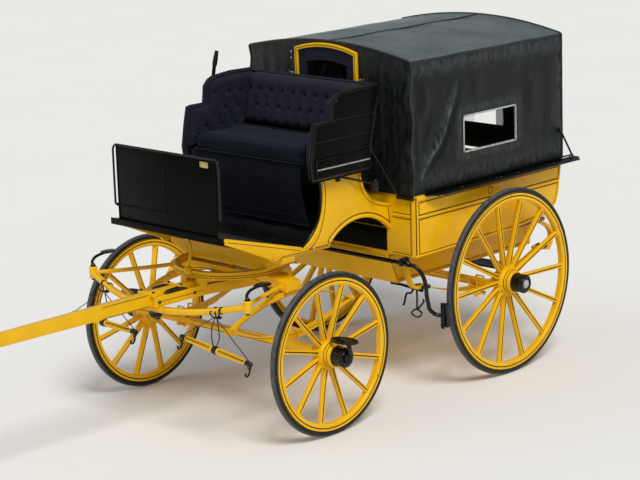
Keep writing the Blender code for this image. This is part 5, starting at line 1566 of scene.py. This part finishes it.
def hood_seams(wrap, section, side_count, stations):
    """Piped seams: corners, eaves, ends of the roof and the roof's middle."""
    mesh = bmesh.new()
    last = len(section) - 1
    eaves = (side_count + 1, last - side_count - 1)
    for end in (0, len(stations) - 1):
        tube(mesh, [wrap[r][end].co.copy() for r in range(1, last)], 0.0060, 8)
    for r in eaves:
        tube(mesh, [v.co.copy() for v in wrap[r]], 0.0048, 8)
    for r in (0, last):
        points = [v.co + Vector((0, 0, 0.008)) for v in wrap[r]]
        tube(mesh, points, 0.0035, 6)
    middle = len(section) // 2
    crest = [v.co.copy() + Vector((0, 0, 0.0006)) for v in wrap[middle]]
    sweep(mesh, crest, flat_section(0.022, 0.0026, 0.001), side=(1, 0, 0))
    return piece("hood_piping", mesh, LEATHER, "body", angle=60, weld=False)


def hood_windows():
    """Frames and panes of the windows, and the arched front opening with its blind and latches."""
    steel = trim("body", STEEL)
    pane = trim("body", PANE)
    y0, y1, z0, z1 = WINDOW
    for side in SIDES:
        corners = [(y0, z0), (y1, z0), (y1, z1), (y0, z1)]
        for x, width in ((side * (HOOD_HALF + 0.0005), 0.011), (side * (HOOD_HALF - 0.007), 0.011)):
            for a, b in zip(corners, corners[1:] + corners[:1]):
                over = [Vector((x, *a)), Vector((x, *b))]
                run = (over[1] - over[0]).normalized() * width / 2
                sweep(steel, [over[0] - run, over[1] + run], flat_section(0.0035, width, 0.001),
                      side=(1, 0, 0))
        x = side * (HOOD_HALF - 0.004)
        mesh_face = [pane.verts.new((x, *c)) for c in corners]
        pane.faces.new(mesh_face)
    dark_frame = trim("body", BLACK)
    z0, z1, half = 1.32, 1.57, 0.14
    corners = [(-half, z0), (half, z0), (half, z1), (-half, z1)]
    for a, b in zip(corners, corners[1:] + corners[:1]):
        over = [Vector((a[0], HOOD_REAR - 0.001, a[1])), Vector((b[0], HOOD_REAR - 0.001, b[1]))]
        run = (over[1] - over[0]).normalized() * 0.008
        sweep(dark_frame, [over[0] - run, over[1] + run], flat_section(0.007, 0.020, 0.0015), side=(0, 1, 0))
    back = [pane.verts.new((x, HOOD_REAR - 0.003, z)) for x, z in corners]
    pane.faces.new(back)
    blind = bmesh.new()
    ring(blind, arch_outline(0.2215, 1.226, 0.7765), arch_outline(0.163, 1.400, 0.700), HOOD_FRONT - 0.008,
         HOOD_FRONT + 0.004)
    piece("hood_blind", blind, CLOTH, "body", angle=40)
    front = bmesh.new()
    frame_front = HOOD_FRONT - 0.0183
    ring(front, arch_outline(0.247, 1.200, 0.802), arch_outline(0.222, 1.225, 0.777), frame_front,
         HOOD_FRONT - 0.0003)
    bmesh.ops.recalc_face_normals(front, faces=front.faces)
    sharp = [e for e in front.edges if e.calc_face_angle(0) > math.radians(50)
             and abs(e.verts[0].co.y - e.verts[1].co.y) < 0.001]
    bmesh.ops.bevel(front, geom=sharp, offset=0.003, segments=2, affect="EDGES", profile=0.5)
    piece("hood_front_frame_look", front, YELLOW, "body", ["hood_front_frame"], angle=40)
    line = arch_outline(0.2350, 1.212, 0.790)
    strip(trim("body", LINING), [(x, frame_front, z) for x, z in line], (0, -1, 0), 0.0035, loop=True)
    for z in (1.930, 1.893):
        stud(steel, (-0.285, HOOD_FRONT - 0.004, z), (0, -1, 0), 0.006, 0.005, 12)
    for side in SIDES:
        base = Vector((side * 0.268, HOOD_FRONT - 0.006, 1.806))
        revolve(steel, [(0, 0), (0, 0.009), (0.004, 0.009), (0.006, 0.006), (0.006, 0)], base, (0, -1, 0), 16)
        hook = ((-0.008, -0.002), (0.006, 0.002), (0.020, 0.004), (0.034, 0.010))
        turn = [base + Vector((side * a, -0.007, b)) for a, b in hook]
        sweep(steel, turn, flat_section(0.009, 0.004, 0.001), side=(0, 0, 1), scale=[1.0, 1.0, 0.9, 0.7])


def arch_outline(half, low, radius, centre_z=1.20, steps=14):
    edge = math.degrees(math.acos(half / radius))
    return [(-half, low), (half, low)] + arc((0, centre_z), radius, edge, 180 - edge, steps)


def ring(mesh, outer, inner, y0, y1):
    """Flat frame between two outlines of the same count."""
    corners = ((outer, y0), (inner, y0), (inner, y1), (outer, y1))
    rows = [[mesh.verts.new((x, y, z)) for x, z in outline] for outline, y in corners]
    count = len(outer)
    for a, b in zip(rows, rows[1:] + rows[:1]):
        for i in range(count):
            j = (i + 1) % count
            mesh.faces.new((a[i], a[j], b[j], b[i]))


# Fore-carriage

BAR_Y = -0.49
BAR_Z = 0.806
BAR_HALF = 0.627


def bar_path(steps=16):
    half = bezier((0, -0.605, 0.7225), (0.30, -0.60, 0.7225), (BAR_HALF, BAR_Y, BAR_Z), steps)
    return [(-x, y, z) for x, y, z in half[::-1]][:-1] + half


def old_bar_point(x):
    """Point on the bar of the part's source, which has fewer steps."""
    path = bar_path(6)
    for a, b in zip(path, path[1:]):
        if a[0] <= x <= b[0]:
            share = (x - a[0]) / (b[0] - a[0])
            return Vector(p + (q - p) * share for p, q in zip(a, b))
    return Vector(path[-1])


def splinter_bar():
    mesh = bmesh.new()
    path = bar_path()
    sweep(mesh, path, flat_section(0.036, 0.034, 0.009), side=None)
    iron = trim("forecarriage", IRON)
    lines = trim("forecarriage", LINING)
    for offset in (-0.0055, 0.0055):
        top = [(x, y + offset, z + 0.0171) for x, y, z in path[1:-1]]
        strip(lines, top, (0, 0, 1), 0.0022)
    for side in SIDES:
        x = side * BAR_HALF
        barrel = [(-0.034, 0), (-0.034, 0.019), (-0.031, 0.0225), (-0.026, 0.0240), (-0.012, 0.0225),
                  (0.012, 0.0225), (0.026, 0.0240), (0.031, 0.0225), (0.034, 0.019), (0.034, 0)]
        revolve(mesh, barrel, (x, BAR_Y, BAR_Z), "z", 24)
        nut(iron, (x, BAR_Y, BAR_Z - 0.034), (0, 0, -1), 0.013, 0.010)
        revolve(iron, [(0.033, 0), (0.033, 0.017), (0.040, 0.016), (0.046, 0.011), (0.050, 0.009),
                       (0.050, 0)], (x, BAR_Y, BAR_Z), "z", 20)
        stay_x = side * 0.432
        stay = [(x - side * 0.012, BAR_Y, BAR_Z), (side * 0.560, -0.37, 0.801),
                (side * 0.485, -0.20, 0.797), (stay_x, -0.054, 0.795)]
        tube(mesh, spline(stay, 4), 0.0118, 12)
        plate(mesh, (stay_x - 0.018, -0.0603, 0.780), (stay_x + 0.018, -0.0403, 0.811), 0.002)
        for dx in (-0.010, 0.010):
            nut(mesh, (stay_x + dx, -0.060, 0.7955), (0, -1, 0), 0.006, 0.005)
        # Step iron
        stalk = [(x, BAR_Y, BAR_Z + 0.040), (x, BAR_Y - 0.004, BAR_Z + 0.062),
                 (x, BAR_Y + 0.018, BAR_Z + 0.083), (x, BAR_Y + 0.060, BAR_Z + 0.093),
                 (x, BAR_Y + 0.100, BAR_Z + 0.0965)]
        sweep(iron, spline(stalk, 4), round_section(0.0085, 10))
        pad = bmesh.new()
        grid = []
        for j in range(13):
            t = -1 + j / 6
            wide = 0.035 * (1 - abs(t) ** 3.2) ** 0.5 if abs(t) < 1 else 0.004
            row = []
            for i in range(9):
                u = -1 + i / 4
                row.append(pad.verts.new((x + wide * u, BAR_Y + 0.120 + 0.0445 * t,
                                          BAR_Z + 0.101 - 0.005 * u * u - 0.003 * t * t)))
            grid.append(row)
        for row, after in zip(grid, grid[1:]):
            for i in range(8):
                pad.faces.new((row[i], row[i + 1], after[i + 1], after[i]))
        bmesh.ops.recalc_face_normals(pad, faces=pad.faces)
        if pad.faces[0].normal.z > 0:
            bmesh.ops.reverse_faces(pad, faces=pad.faces)
        bmesh.ops.solidify(pad, geom=pad.faces[:], thickness=0.006)
        join(iron, pad)
        for j in range(-3, 4):
            y = BAR_Y + 0.120 + 0.011 * j
            wide = 0.035 * (1 - abs(0.247 * j) ** 3.2) ** 0.5 - 0.004
            rib = [(x + wide * u, y, BAR_Z + 0.1005 - 0.005 * u * u - 0.003 * (0.247 * j) ** 2)
                   for u in (-1, -0.5, 0, 0.5, 1)]
            sweep(iron, rib, round_section(0.0016, 6))
        # Pin of the swingletree
        pin = old_bar_point(side * 0.455)
        tube(iron, [(pin.x, pin.y, pin.z - 0.0425), (pin.x, pin.y, pin.z + 0.018)], 0.0058, 12)
        revolve(iron, [(-0.045, 0), (-0.045, 0.011), (-0.0435, 0.012), (-0.0402, 0.012), (-0.0402, 0)], pin,
                "z", 16)
        for offset in (-0.024, 0.024):
            band = [(pin.x + offset, pin.y + 0.0200 * math.cos(t),
                     pin.z + 0.0190 * math.sin(t) + 0.155 * offset * side) for t in turns(16)]
            sweep(iron, band, flat_section(0.012, 0.004), side=(1, 0, 0), loop=True)
    for x in (-0.105, 0.105):
        strip(lines, [(x, -0.6195, 0.742), (x, -0.6195, 0.712)], (0, -1, 0), 0.002)
    piece("splinter_bar_look", mesh, YELLOW, "forecarriage", ["splinter_bar"], angle=34,
          weld=False)


def swingletree(side):
    sign = "left" if side > 0 else "right"
    body = f"swingletree_{sign}"
    pin = old_bar_point(side * 0.455) - Vector((0, 0, 0.040))
    middle = Vector((pin.x, -0.575, 0.556))
    along = Vector((side, 0, -0.115 if side > 0 else 0.036)).normalized()
    mesh = bmesh.new()
    iron = trim(body, IRON)
    profile = [(-0.267, 0), (-0.267, 0.0105), (-0.2, 0.0150), (-0.1, 0.0180), (0, 0.0192), (0.1, 0.0180),
               (0.2, 0.0150), (0.267, 0.0105), (0.267, 0)]
    revolve(mesh, profile, middle, along, 24)
    piece(f"swingletree_{sign}_wood", mesh, YELLOW, body, [f"swingletree_{sign}"], angle=34,
          weld=False)
    upright = along.cross(Vector((0, 1, 0)))
    upright = upright if upright.z > 0 else -upright
    for turn in (-0.30, 0.0, 0.30):
        away = (upright * math.cos(turn + 0.9) + Vector((0, -1, 0)) * math.sin(turn + 0.9))
        for low, high in ((-0.225, -0.030), (0.030, 0.225)):
            path = []
            for k in range(9):
                t = low + (high - low) * k / 8
                near, far = 0.0192 - 0.0012 * (abs(t) / 0.1), 0.0180 - 0.030 * (abs(t) - 0.1)
                radius = near if abs(t) < 0.1 else far
                path.append(middle + along * t + away * radius)
            strip(trim(body, LINING), path, away, 0.0022 if turn else 0.0036)
    revolve(iron, [(-0.0165, 0.0188), (-0.0165, 0.0212), (-0.014, 0.0222), (0.014, 0.0222),
                   (0.0165, 0.0212), (0.0165, 0.0188)], middle, along, 24)
    for end in (1, -1):
        ferrule = [(0.232, 0.0), (0.232, 0.0145), (0.236, 0.0155), (0.262, 0.0145), (0.270, 0.0140),
                   (0.274, 0.0110), (0.275, 0)]
        revolve(iron, [(end * a, r) for a, r in ferrule], middle, along, 20)
        tip = middle + along * (end * 0.263)
        hook = [tip + Vector((0, -0.002, -0.010)), tip + Vector((0, -0.004, -0.034)),
                tip + Vector((0, -0.010, -0.052)), tip + Vector((0, -0.024, -0.062)),
                tip + Vector((0, -0.036, -0.054)), tip + Vector((0, -0.033, -0.041))]
        tube(iron, spline(hook, 4), 0.0052, 10)
        ringlet = [tip + Vector((0.012 * math.cos(t), -0.006, -0.016 + 0.012 * math.sin(t)))
                   for t in turns(16)]
        tube(iron, ringlet, 0.0030, 8, loop=True)
    # Strap that carries the tree: a clasp round the pin and a leather loop down to the middle band
    leather_mesh = trim(body, LEATHER)
    base = pin.z + 0.0045
    plate(iron, (pin.x - 0.015, pin.y - 0.026, pin.z + 0.0006),
          (pin.x + 0.015, pin.y + 0.012, pin.z + 0.0072), 0.0015)
    clasp = Vector((pin.x, pin.y - 0.0225, base))
    for offset in (-0.020, 0.020):
        prong = [clasp + Vector((offset * 0.5, 0.004, 0.000)), clasp + Vector((offset, -0.014, 0.012)),
                 clasp + Vector((offset, -0.022, 0.030)), clasp + Vector((offset * 0.8, -0.017, 0.040))]
        tube(iron, spline(prong, 4), 0.0042, 8)
    for offset in (-1, 1):
        drop = [clasp + Vector((offset * 0.006, 0, 0)),
                clasp.lerp(middle, 0.30) + Vector((offset * 0.026, -0.004, 0)),
                clasp.lerp(middle, 0.62) + Vector((offset * 0.029, -0.002, 0)),
                middle + Vector((offset * 0.010, -0.006, 0.024))]
        sweep(leather_mesh, spline(drop, 5), flat_section(0.0065, 0.0042, 0.001), side=(0, 1, 0))
        reach = middle + along * (offset * side * 0.252) + upright * 0.0165
        sweep(leather_mesh, [clasp + Vector((offset * 0.010, -0.006, 0.0)), reach],
              flat_section(0.0050, 0.0042, 0.001), side=(0, 1, 0))


def fore_carriage_looks():
    iron = trim("forecarriage", IRON)
    yellow = trim("forecarriage", YELLOW)
    for side in SIDES:
        swingletree(side)
    # Pole between its timbers
    for x in (-0.0335, 0.0335):
        sign = math.copysign(1, x)
        for z in (0.748, 0.811):
            path = [(sign * 0.0343, -0.66, z), (sign * 0.0343, -0.99, z)]
            strip(trim("forecarriage", LINING), path, (sign, 0, 0), 0.0026)
            path = [(sign * 0.0207, -1.00, z), (sign * 0.0207, -3.10, z - (0.010 if z > 0.8 else -0.010))]
            strip(trim("forecarriage", LINING), path, (sign, 0, 0), 0.0026)
    for side in SIDES:
        # Iron clip over the pole's root and leather wedges in the throat of the timbers
        wedge = bmesh.new()
        slab(wedge, [(-0.56, 0.800), (-0.40, 0.800), (-0.40, 0.806), (-0.47, 0.822), (-0.54, 0.818)],
             side * 0.040, side * 0.066, 0.003)
        join(trim("forecarriage", LEATHER), wedge)
        for y in (-0.62, -0.36):
            nut(iron, (side * 0.0725, y, 0.770), (side, 0, 0), 0.009, 0.008)
        top = [(side * 0.052, -0.63, 0.7984), (side * 0.055, -0.31, 0.7984), (side * 0.11, -0.05, 0.7984)]
        strip(trim("forecarriage", LINING), top, (0, 0, 1), 0.0028)
        outer = [(side * 0.0703, -0.63, 0.770), (side * 0.0750, -0.305, 0.770)]
        strip(trim("forecarriage", LINING), outer, (side, 0, 0), 0.0028)
    plate(yellow, (-0.066, -0.652, 0.7990), (0.066, -0.628, 0.8200), 0.003)
    plate(yellow, (-0.060, -0.452, 0.8172), (0.060, -0.420, 0.8235), 0.002)
    for x in (-0.050, 0.050):
        nut(iron, (x, -0.640, 0.820), (0, 0, 1), 0.008, 0.007)
        nut(iron, (x, -0.436, 0.8235), (0, 0, 1), 0.008, 0.007)
    # Round black buffer under the bar's middle
    revolve(iron, [(-0.030, 0), (-0.028, 0.020), (-0.018, 0.034), (0.0, 0.040), (0.006, 0.040), (0.006, 0)],
            (0.0, -0.585, 0.692), "z", 28)
    # Hoop clip and lugs on the turntable
    plate(yellow, (-0.020, -0.345, 0.858), (0.020, -0.318, 0.898), 0.004)
    nut(yellow, (0.0, -0.345, 0.884), (0, -1, 0), 0.009, 0.006)
    for angle in (-62, -118, 35, 145):
        a = math.radians(angle)
        spot = Vector((0.31 * math.cos(a), 0.31 * math.sin(a), 0.8365))
        away = Vector((math.cos(a), math.sin(a), 0))
        stud(yellow, spot + away * 0.0150 + Vector((0, 0, 0.010)), away, 0.008, 0.006)
    radius = 0.3252
    rim = [(radius * math.cos(t), radius * math.sin(t), 0.8460) for t in turns(96)]
    strip(trim("forecarriage", LINING), rim, lambda p: (p.x, p.y, 0), 0.0028, loop=True)
    nut(iron, (0, 0, 0.776), (0, 0, -1), 0.022, 0.014)
    # Pole end
    tip = bmesh.new()
    low, high = 0.7545, 0.8060
    for y in (-3.12, -2.98):
        plate(tip, (-0.0222, y - 0.016, low - 0.003), (0.0222, y + 0.016, high + 0.003), 0.001)
    join(iron, tip)


def bed_looks():
    """Lining on the front bed, the axles and the rear bed."""
    lines = trim("forecarriage", LINING)
    for y, out in ((-0.0402, (0, -1, 0)), (0.0802, (0, 1, 0))):
        low = bezier((0.20, 0.8065), (0.27, 0.798), (0.37, 0.772), 6)
        path = [(-a, y, z) for a, z in low[::-1]] + [(a, y, z) for a, z in low]
        strip(lines, path, out, 0.0030)
    for side in SIDES:
        for z in (0.444, 0.470):
            strip(lines, [(side * 0.05, -0.0190, z), (side * 0.35, -0.0205, z)], (0, -1, 0), 0.0026)
    rear = trim("body", LINING)
    for y, out in ((1.499, (0, -1, 0)), (1.539, (0, 1, 0))):
        for z in (0.508, 0.532):
            strip(rear, [(-0.45, y, z), (0.45, y, z)], out, 0.0026)
    for side in SIDES:
        for y in (1.49, 1.55):
            nut(trim("body", YELLOW), (side * 0.49, y, 0.540), (0, 0, 1), 0.008, 0.007)


# Brake, steps and door

def brake_looks():
    mesh = bmesh.new()
    shaft_y, shaft_z, shaft_half = 0.795, 0.782, 0.605
    track = REAR_TRACK_HALF
    block_z = 0.475
    tube(mesh, [(-shaft_half, shaft_y, shaft_z), (shaft_half, shaft_y, shaft_z)], 0.0128, 18)
    block_heights = (block_z - 0.07, block_z - 0.035, block_z, block_z + 0.035, block_z + 0.07)
    face = [WHEELBASE - math.sqrt(0.567 ** 2 - (REAR_RADIUS - z) ** 2) for z in block_heights]
    end_y = face[2] - 0.043
    knee_y = shaft_y + (end_y - shaft_y) * 0.46
    for side in SIDES:
        shoulder = (side * (track - 0.12), shaft_y + 0.02, shaft_z - 0.012)
        bend = (side * (track - 0.055), knee_y - 0.01, shaft_z - 0.052)
        knee = (side * (track - 0.065), knee_y, block_z + 0.125)
        path = [(side * (shaft_half - 0.015), shaft_y, shaft_z)] + bezier(shoulder, bend, knee, 10)
        below = (side * (track - 0.06), knee_y + 0.015, block_z + 0.045)
        elbow = (side * (track - 0.05), end_y - 0.025, block_z)
        path += bezier(below, elbow, (side * (track - 0.005), end_y, block_z + 0.003), 8)
        tube(mesh, path, 0.0122, 14)
        revolve(mesh, [(-0.014, 0), (-0.014, 0.012), (-0.007, 0.0175), (0.007, 0.0175), (0.014, 0.012),
                       (0.014, 0)], (side * (shaft_half + 0.012), shaft_y, shaft_z), "x", 18)
        low, high = sorted((side * 0.560, side * 0.585))
        plate(mesh, (low, shaft_y - 0.016, shaft_z - 0.016), (high, shaft_y + 0.052, 0.8097), 0.003)
        heights = [block_z - 0.07 + 0.035 * k for k in range(5)]
        outline = list(zip(face, heights)) + [(face[4] - 0.035, block_z + 0.07),
                                              (face[0] - 0.045, block_z - 0.07)]
        low, high = sorted((side * (track - 0.022), side * (track + 0.018)))
        slab(mesh, outline, low, high, 0.003)
        back_y = face[2] - 0.041
        plate(mesh, (low + 0.008, back_y - 0.008, block_z - 0.075),
              (high - 0.008, back_y - 0.001, block_z + 0.078), 0.002)
        for rise in (-0.052, 0.054):
            nut(mesh, ((low + high) / 2, back_y - 0.007, block_z + rise), (0, -1, 0), 0.009, 0.008)
    crank = -0.540
    plate(mesh, (crank - 0.006, shaft_y - 0.010, shaft_z), (crank + 0.006, shaft_y + 0.010, 0.957), 0.0025)
    nut(mesh, (crank - 0.006, shaft_y, 0.945), (-1, 0, 0), 0.008, 0.007)
    # Bracket beside the well's front with the hook and the shackle that hang from it
    x = 0.500
    sweep(mesh, [(0.370, 0.918, 0.6100), (0.430, 0.940, 0.6040), (0.548, 1.000, 0.5700)],
          flat_section(0.024, 0.010, 0.002), side=(0, 1, 0))
    hook = [(x, 0.968, 0.580), (x, 0.945, 0.563), (x, 0.912, 0.568), (x, 0.897, 0.546), (x, 0.889, 0.520),
            (x, 0.876, 0.504)]
    tube(mesh, spline(hook, 4), 0.0062, 10)
    tube(mesh, [(x, 0.998, 0.582), (x, 0.998, 0.520), (x, 0.997, 0.452)], 0.0060, 10)
    link_bar = [(x, 1.050, 0.500), (x, 1.058, 0.489), (x, 1.046, 0.478), (x, 1.020, 0.462), (x, 1.004, 0.450)]
    tube(mesh, spline(link_bar, 4), 0.0058, 10)
    buckle = [(x - 0.012, 0.963, 0.433), (x - 0.012, 0.997, 0.452), (x + 0.012, 1.023, 0.428),
              (x + 0.012, 0.993, 0.409)]
    tube(mesh, spline(buckle, 5, True), 0.0052, 8, loop=True)
    piece("brake_gear_look", mesh, IRON, "body", ["brake_gear"], angle=34, weld=False)
    lever = bmesh.new()
    x = -0.540
    bar = spline([(x, 0.240, 0.926), (x, 0.262, 1.000), (x - 0.003, 0.326, 1.320),
                  (x - 0.005, 0.390, 1.640), (x - 0.008, 0.440, 1.872)], 5)
    sweep(lever, bar, flat_section(0.0095, 0.025, 0.003), side=(1, 0, 0))
    handle = [(x - 0.008, 0.440, 1.870), (x - 0.0083, 0.446, 1.890), (x - 0.0088, 0.456, 1.925),
              (x - 0.0090, 0.465, 1.957)]
    sweep(lever, spline(handle, 4), round_section(0.0148, 14),
          scale=[0.75 + 0.25 * math.sin(math.pi * min(1, 0.15 + k / 13)) for k in range(13)])
    revolve(lever, [(-0.008, 0), (-0.008, 0.013), (0.0, 0.014), (0.0845, 0.014), (0.0845, 0)],
            (x, 0.262, 1.000), "x", 18)
    nut(lever, (x - 0.008, 0.262, 1.000), (-1, 0, 0), 0.010, 0.007)
    tube(lever, [(x, 0.240, 0.945), (x, 0.7846, 0.945)], 0.0058, 10)
    piece("brake_lever_look", lever, IRON, "body", ["brake_lever"], angle=34, weld=False)


def rear_looks():
    iron = trim("body", IRON)
    for i in range(9):
        y = 2.241 + 0.014 * i
        sweep(iron, [(-0.180, y, 0.400), (0.180, y, 0.400)], ridge(0.0028, 0.0018), side=(0, 0, 1))
    for x in (-0.14, 0.14):
        for y in (2.245, 2.345):
            stud(iron, (x + 0.025, y, 0.385), (0, 0, -1), 0.006, 0.004)
        nut(iron, (x, 2.075, 0.6035), (0, 0, -1), 0.010, 0.008)
    for a, b in (((-0.19, 2.23), (0.19, 2.23)), ((0.19, 2.23), (0.19, 2.36)), ((-0.19, 2.36), (-0.19, 2.23))):
        sweep(iron, [(a[0], a[1], 0.3925), (b[0], b[1], 0.3925)], round_section(0.0078, 8))
    door = "rear_door"
    y = 2.152
    low, high = 0.665, 1.150
    for z0, z1 in ((low, 1.010), (1.045, high)):
        loop = [(-0.262, y, z0), (0.262, y, z0), (0.262, y, z1), (-0.262, y, z1)]
        strip(trim(door, LINING), loop, (0, 1, 0), 0.0042, loop=True)
        inner = [(-0.254, y, z0 + 0.008), (0.254, y, z0 + 0.008), (0.254, y, z1 - 0.008),
                 (-0.254, y, z1 - 0.008)]
        sweep(trim(door, YELLOW), inner, ridge(0.0030, 0.0030), side=(0, 1, 0), loop=True)
    sweep(trim(door, YELLOW), [(-0.268, y, 1.0275), (0.268, y, 1.0275)], ridge(0.0080, 0.0050),
          side=(0, 1, 0))
    for z in (0.740, 1.060):
        for x in (0.215, 0.250):
            stud(trim(door, IRON), (x, 2.160, z + 0.025), (0, 1, 0), 0.005, 0.003)
    revolve(trim(door, BRASS), [(0.0, 0), (0.0, 0.022), (0.003, 0.022), (0.005, 0.014), (0.005, 0)],
            (-0.24, 2.1515, 0.98), "y", 24)


def hood_stay_looks():
    iron = trim("body", IRON)
    for side in SIDES:
        head = Vector((side * 0.655, 2.161, 1.355))
        foot = Vector((side * 0.690, 2.235, 1.1743))
        knee = foot + Vector((0, 0, 0.012))
        tube(iron, [foot, knee, knee.lerp(head, 0.08), head], 0.0061, 12)
        boss = ((0.0, 0), (0.0, 0.014), (0.012, 0.014), (0.016, 0.010), (0.016, 0))
        revolve(iron, [(side * a, r) for a, r in boss], (side * 0.6453, 2.161, 1.355), "x", 20)
        revolve(iron, [(0.0, 0), (0.0, 0.016), (0.003, 0.016), (0.006, 0.009), (0.006, 0)], foot, "z", 16)


def benches():
    for side in SIDES:
        sign = "left" if side > 0 else "right"
        low, high = node_box(f"bench_cushion_{sign}")
        cushion(f"bench_cushion_{sign}_look", low + Vector((0.001, 0.001, 0)),
                high + Vector((-0.001, -0.001, 0.004)), "body", CUSHION, f"bench_cushion_{sign}",
                crown=0.012, pull=0.010, voxel=0.011)
        piping = trim("body", CUSHION)
        for z, inset in ((high.z - 0.011, 0.003), (low.z + 0.006, 0.004)):
            loop = box_loop(low + Vector((inset, inset, 0)), high - Vector((inset, inset, 0)), z, 0.022,
                            0.002)
            tube(piping, loop, 0.0036, 6, loop=True)


# Stage

def stage():
    floor_mesh = bpy.data.meshes.new("floor")
    floor_mesh.from_pydata([(-90, -90, 0), (90, -90, 0), (90, 90, 0), (-90, 90, 0)], [], [(0, 1, 2, 3)])
    floor = bpy.data.objects.new("floor", floor_mesh)
    bpy.context.scene.collection.objects.link(floor)
    made, tree, shader = start_material("floor")
    tone = noise_node(tree, 0.8, 3.0)
    link(tree, mix(tree, tone, (0.86, 0.86, 0.85), (0.885, 0.885, 0.875)), shader.inputs["Base Color"])
    shader.inputs["Roughness"].default_value = 0.95
    shader.inputs["Specular IOR Level"].default_value = 0.1
    floor_mesh.materials.append(made)
    world = bpy.data.worlds.new("world")
    world.use_nodes = True
    world.node_tree.nodes["Background"].inputs["Color"].default_value = (0.95, 0.97, 1.0, 1)
    world.node_tree.nodes["Background"].inputs["Strength"].default_value = 0.36
    bpy.context.scene.world = world
    bpy.context.scene.view_settings.view_transform = "Standard"
    # Columns: name, direction it shines from, angle, strength, colour
    lamps = [("key", (5.0, -2.6, 7.5), 0.42, 2.15, (1.0, 0.975, 0.93)),
             ("fill", (-5.0, -5.0, 5.0), 0.9, 0.35, (0.94, 0.97, 1.0))]
    for name, place, angle, strength, colour in lamps:
        lamp = bpy.data.lights.new(name, "SUN")
        lamp.angle = angle
        lamp.energy = strength
        lamp.color = colour
        made = bpy.data.objects.new(name, lamp)
        bpy.context.scene.collection.objects.link(made)
        made.rotation_euler = Vector(place).to_track_quat("Z", "Y").to_euler()


SOFT_EDGES = {
    "rear_axle": 0.004, "rear_iron_left": 0.004, "rear_iron_right": 0.004, "lower_bed": 0.004,
    "upper_ring": 0.003, "futchells": 0.004, "pole": 0.006, "boot_side_left": 0.003, "boot_side_right": 0.003,
    "boot_lining": 0.001, "body_side_left": 0.003, "body_side_right": 0.003, "body_front": 0.002,
    "body_rear": 0.0015, "foot_well": 0.003, "body_floor": 0.001, "bench_left": 0.003, "bench_right": 0.003,
    "seat_base": 0.002, "seat_back": 0.002, "rear_door": 0.0015, "wing_board_left": 0.0015,
    "wing_board_right": 0.0015, "footboard": 0.002, "seat_wing_left": 0.003, "seat_wing_right": 0.003,
    "rear_step": 0.002,
}


def softened():
    for node, width in SOFT_EDGES.items():
        soften(node, width)


camera()
stage()
wheels()
front_axle()
front_springs()
rear_springs()
seat()
hood()
boot_looks()
body_looks()
dash_look()
wing_looks()
wing_board_looks()
splinter_bar()
fore_carriage_looks()
bed_looks()
brake_looks()
rear_looks()
hood_stay_looks()
benches()
softened()
for node in NODES:
    if not NODES[node].hide_render:
        slot = SLOT_OF[node]
        NODES[node].data.materials.clear()
        NODES[node].data.materials.append(SLOT_MATERIAL[slot])
finish_trim()
